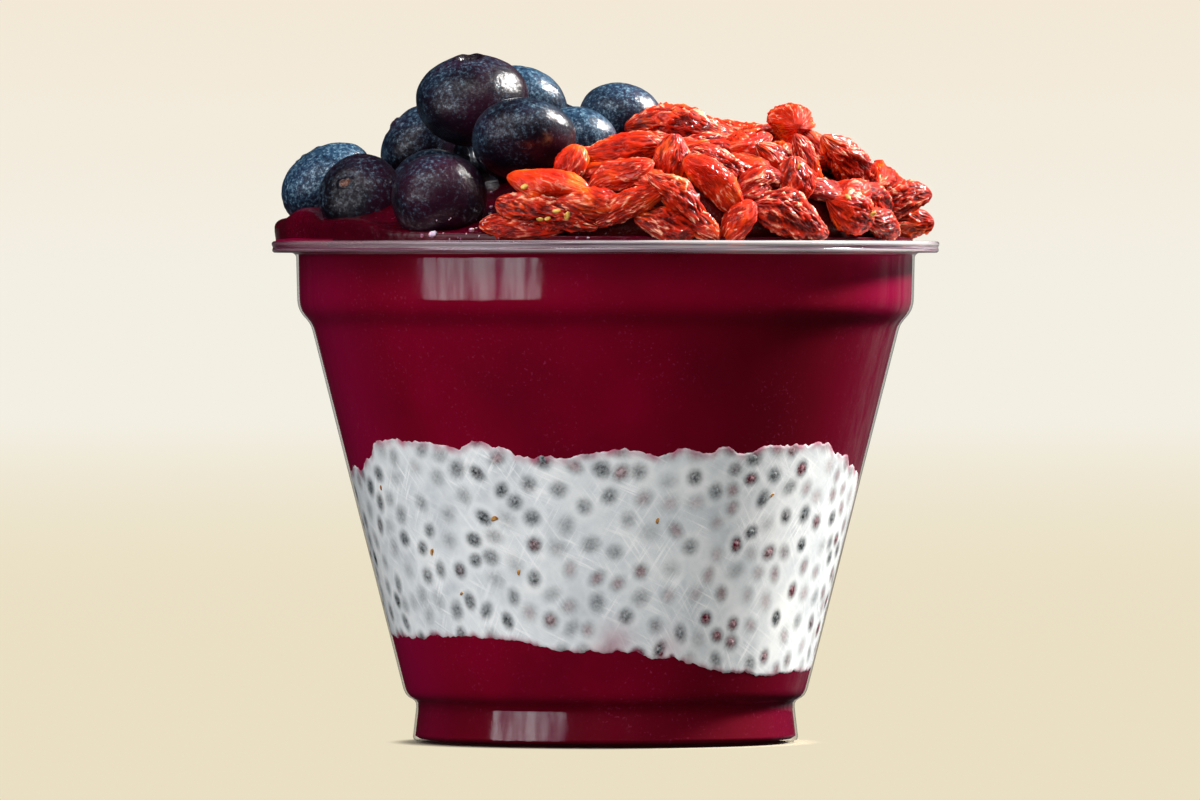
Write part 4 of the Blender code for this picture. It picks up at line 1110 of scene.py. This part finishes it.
def join_gojis(rows, rings, sides, in_view):
    """Many gojis as one set of points, faces and numbers for the shader."""
    points, faces, numbers = [], [], []
    for number, (x, y, z, length, width, _, _, wrinkled, orange) in enumerate(rows):
        flatness = 0.82 if wrinkled < 0.5 else 0.7
        seed = number if in_view else number + 500
        body, ridge, unbent = goji_body(length, width, seed, rings, sides, wrinkled, flatness)
        outward = heap_normal(x, y)
        if in_view:
            outward = (0.5 * outward + Vector((0.0, -1.0, 0.0))).normalized()
        placed = body @ goji_frame(rows[number], outward).T
        faces += body_faces(rings, sides, number * len(body))
        points.append(placed + (x, y, z))
        # Painted glow: thin is how far up each point lies on its piece, and the upper side is made oranger through the
        # orange number.
        thin = smooth(0.2, 1.0, placed @ np.array([-0.3, 0.0, 0.95]) / width * 2)
        numbers.append([ridge, orange * 0.8 + 0.45 * thin * (0.3 + orange), *unbent.T])
    names = ("ridge", "orange", "fold_x", "fold_y", "fold_z")
    return np.concatenate(points), faces, dict(zip(names, np.concatenate(numbers, 1)))


goji_material = goji_skin()
points, faces, numbers = join_gojis(GOJI_PIECES, 48, 72, True)
new_piece("gojis_in_view", points, faces, [goji_material], "dried_goji", ["goji_berries"], **numbers)
goji_surface = BVHTree.FromPolygons(points.tolist(), faces)
points, faces, numbers = join_gojis(FILL, 26, 34, False)
new_piece("gojis_filling", points, faces, [goji_material], "dried_goji", **numbers)

# %% [markdown]
# Below the top pieces the heap is only more of the same in deep shade. One lumpy core, 2.5 mm under the
# pieces' centres, stands for them, painted dark red as shade, so that no gap shows the acai where gojis would be.

# %% Heap core
CORE_COLUMNS, CORE_RADIUS = 160, 43.2
core_angles = np.linspace(-180, 180, CORE_COLUMNS, endpoint=False)
rows = [at_angle(CORE_RADIUS * share, core_angles, 0.0) for share in np.linspace(0, 1, 40)[1:]]
for row in rows:
    lumps = np.array([noise.noise(Vector((x, y, 0.0)) / 3.2) for x, y, _ in row])
    low = mound_top(row[:, 0], row[:, 1]) - 0.6
    row[:, 2] = np.maximum(heap_height(row[:, 0], row[:, 1]) - 2.7 + lumps, low)
rows.append(at_angle(CORE_RADIUS, core_angles, RIM_TOP - 1.0))
core_points = closed(rows, (0, 0, float(heap_height(0.0, 0.0)) - 3), (0, 0, 70.0))
# With no ridge number the goji skin paints the core as all fold, which is painted shade.
nought = np.zeros(len(core_points))
new_piece("goji_core", core_points, body_faces(len(rows), CORE_COLUMNS), [goji_material], "dried_goji",
          ridge=nought, orange=nought, **{"fold_" + axis: core_points[:, k] for k, axis in enumerate("xyz")})

# %% [markdown]
# ## Seeds and ice crumbs
# Some gojis have split and show their flat yellow seeds, about 1.5 mm long. Scooping has left crumbs of
# frozen acai and ice, half a millimetre to a millimetre wide, at the feet of the berries. Their pale colour
# is partly a painted glint, where small beads of melt water shine. Each small body is laid on the first
# surface met by a line drawn from the front.

# %% Small bodies on a surface
mound_surface = BVHTree.FromPolygons(acai_points.tolist(), acai_faces)
berry_surface = BVHTree.FromPolygons(berry_points.tolist(), berry_faces)


def laid_on(surfaces, rows, seed, lumpy):
    """Small flattened bodies, rows of (x, z, length, width, tilt), laid on the nearest surface."""
    draw = random.Random(seed)
    points, faces = [], []
    for x, z, length, width, tilt in rows:
        hits = [surface.ray_cast(Vector((x, -60.0, z)), Vector((0, 1, 0))) for surface in surfaces]
        hits = sorted((hit for hit in hits if hit[0] is not None), key=lambda hit: hit[3])
        if not hits:
            continue
        place, out = hits[0][:2]
        out = out if out.y < 0 else -out
        along = heading(0, tilt)
        along = (along - out * along.dot(out)).normalized()
        body = np.roll(egg(10), 1, axis=1)
        body *= 1 + lumpy * np.array([[draw.uniform(-1, 1)] for _ in body])
        body *= (length / 2, width / 2, width / 2 * 0.6)
        faces += body_faces(6, 10, len(points) * len(body))
        points.append(body @ np.array([along, out.cross(along), out]) + np.array(place + 0.12 * width * out))
    return np.concatenate(points), faces


# %% Goji seeds
goji_seed, *_ = speckled("dry_goji_seed", 0.45, 1.5, 1500.0, ((0.35, "#B07018"), (0.65, "#F0C860")))
points, faces = laid_on([goji_surface], (
    (-7.0, 77.5, 1.4, 0.55, 12), (-8.3, 76.4, 1.0, 0.7, 30), (-9.4, 76.4, 1.1, 0.75, -20), (-5.5, 76.8, 1.6, 0.8, 68),
    (-11.6, 81.0, 1.3, 0.8, 10), (38.6, 77.2, 1.2, 0.9, 20), (35.0, 79.6, 1.0, 0.6, -40),
    (28.0, 84.0, 0.9, 0.6, 60), (41.5, 78.6, 1.0, 0.7, 15)), 3, 0.06)
new_piece("goji_seeds", points, faces, [goji_seed], "dried_goji")

# %% Ice crumbs
# Painted glint: the crumbs' pale pinkish white stands partly for small glints of melt water.
crumb_ice_and_painted_glint, tree, shader, _ = speckled(
    "fruit_ice_crumbs_and_painted_glint", 0.12, 1.31, 1200.0, ((0.35, "#8A3C62"), (0.6, "#E4CCDC")))
put(tree, shader, {"Subsurface Weight": 0.5, "Subsurface Scale": 0.0004})
draw = random.Random(8)
crumbs = [
    (-16.6, 78.2, 0.5, 0.35, 70), (-16.7, 77.2, 0.45, 0.35, 50), (-16.6, 80.4, 0.35, 0.3, 0),
    (-19.3, 74.9, 0.7, 0.5, 0), (-24.8, 74.2, 1.3, 0.9, 10), (-26.4, 74.0, 0.6, 0.5, 0),
    (-4.1, 73.7, 0.4, 0.3, 0), (-2.5, 73.7, 0.4, 0.3, 0), (22.2, 80.3, 0.5, 0.4, 20),
    (22.9, 80.6, 0.45, 0.35, 70), (21.6, 80.0, 0.4, 0.3, 40), (22.6, 79.8, 0.35, 0.3, 0),
    (-17.6, 75.6, 0.35, 0.3, 0)]
crumbs += [(draw.uniform(-25, -14), 73.5 + 3.0 * draw.random() ** 2, draw.uniform(0.2, 0.35),
            draw.uniform(0.15, 0.25), draw.uniform(0, 90)) for _ in range(14)]
points, faces = laid_on([mound_surface, goji_surface, berry_surface], crumbs, 5, 0.25)
new_piece("ice_crumbs", points, faces, [crumb_ice_and_painted_glint], "acai")
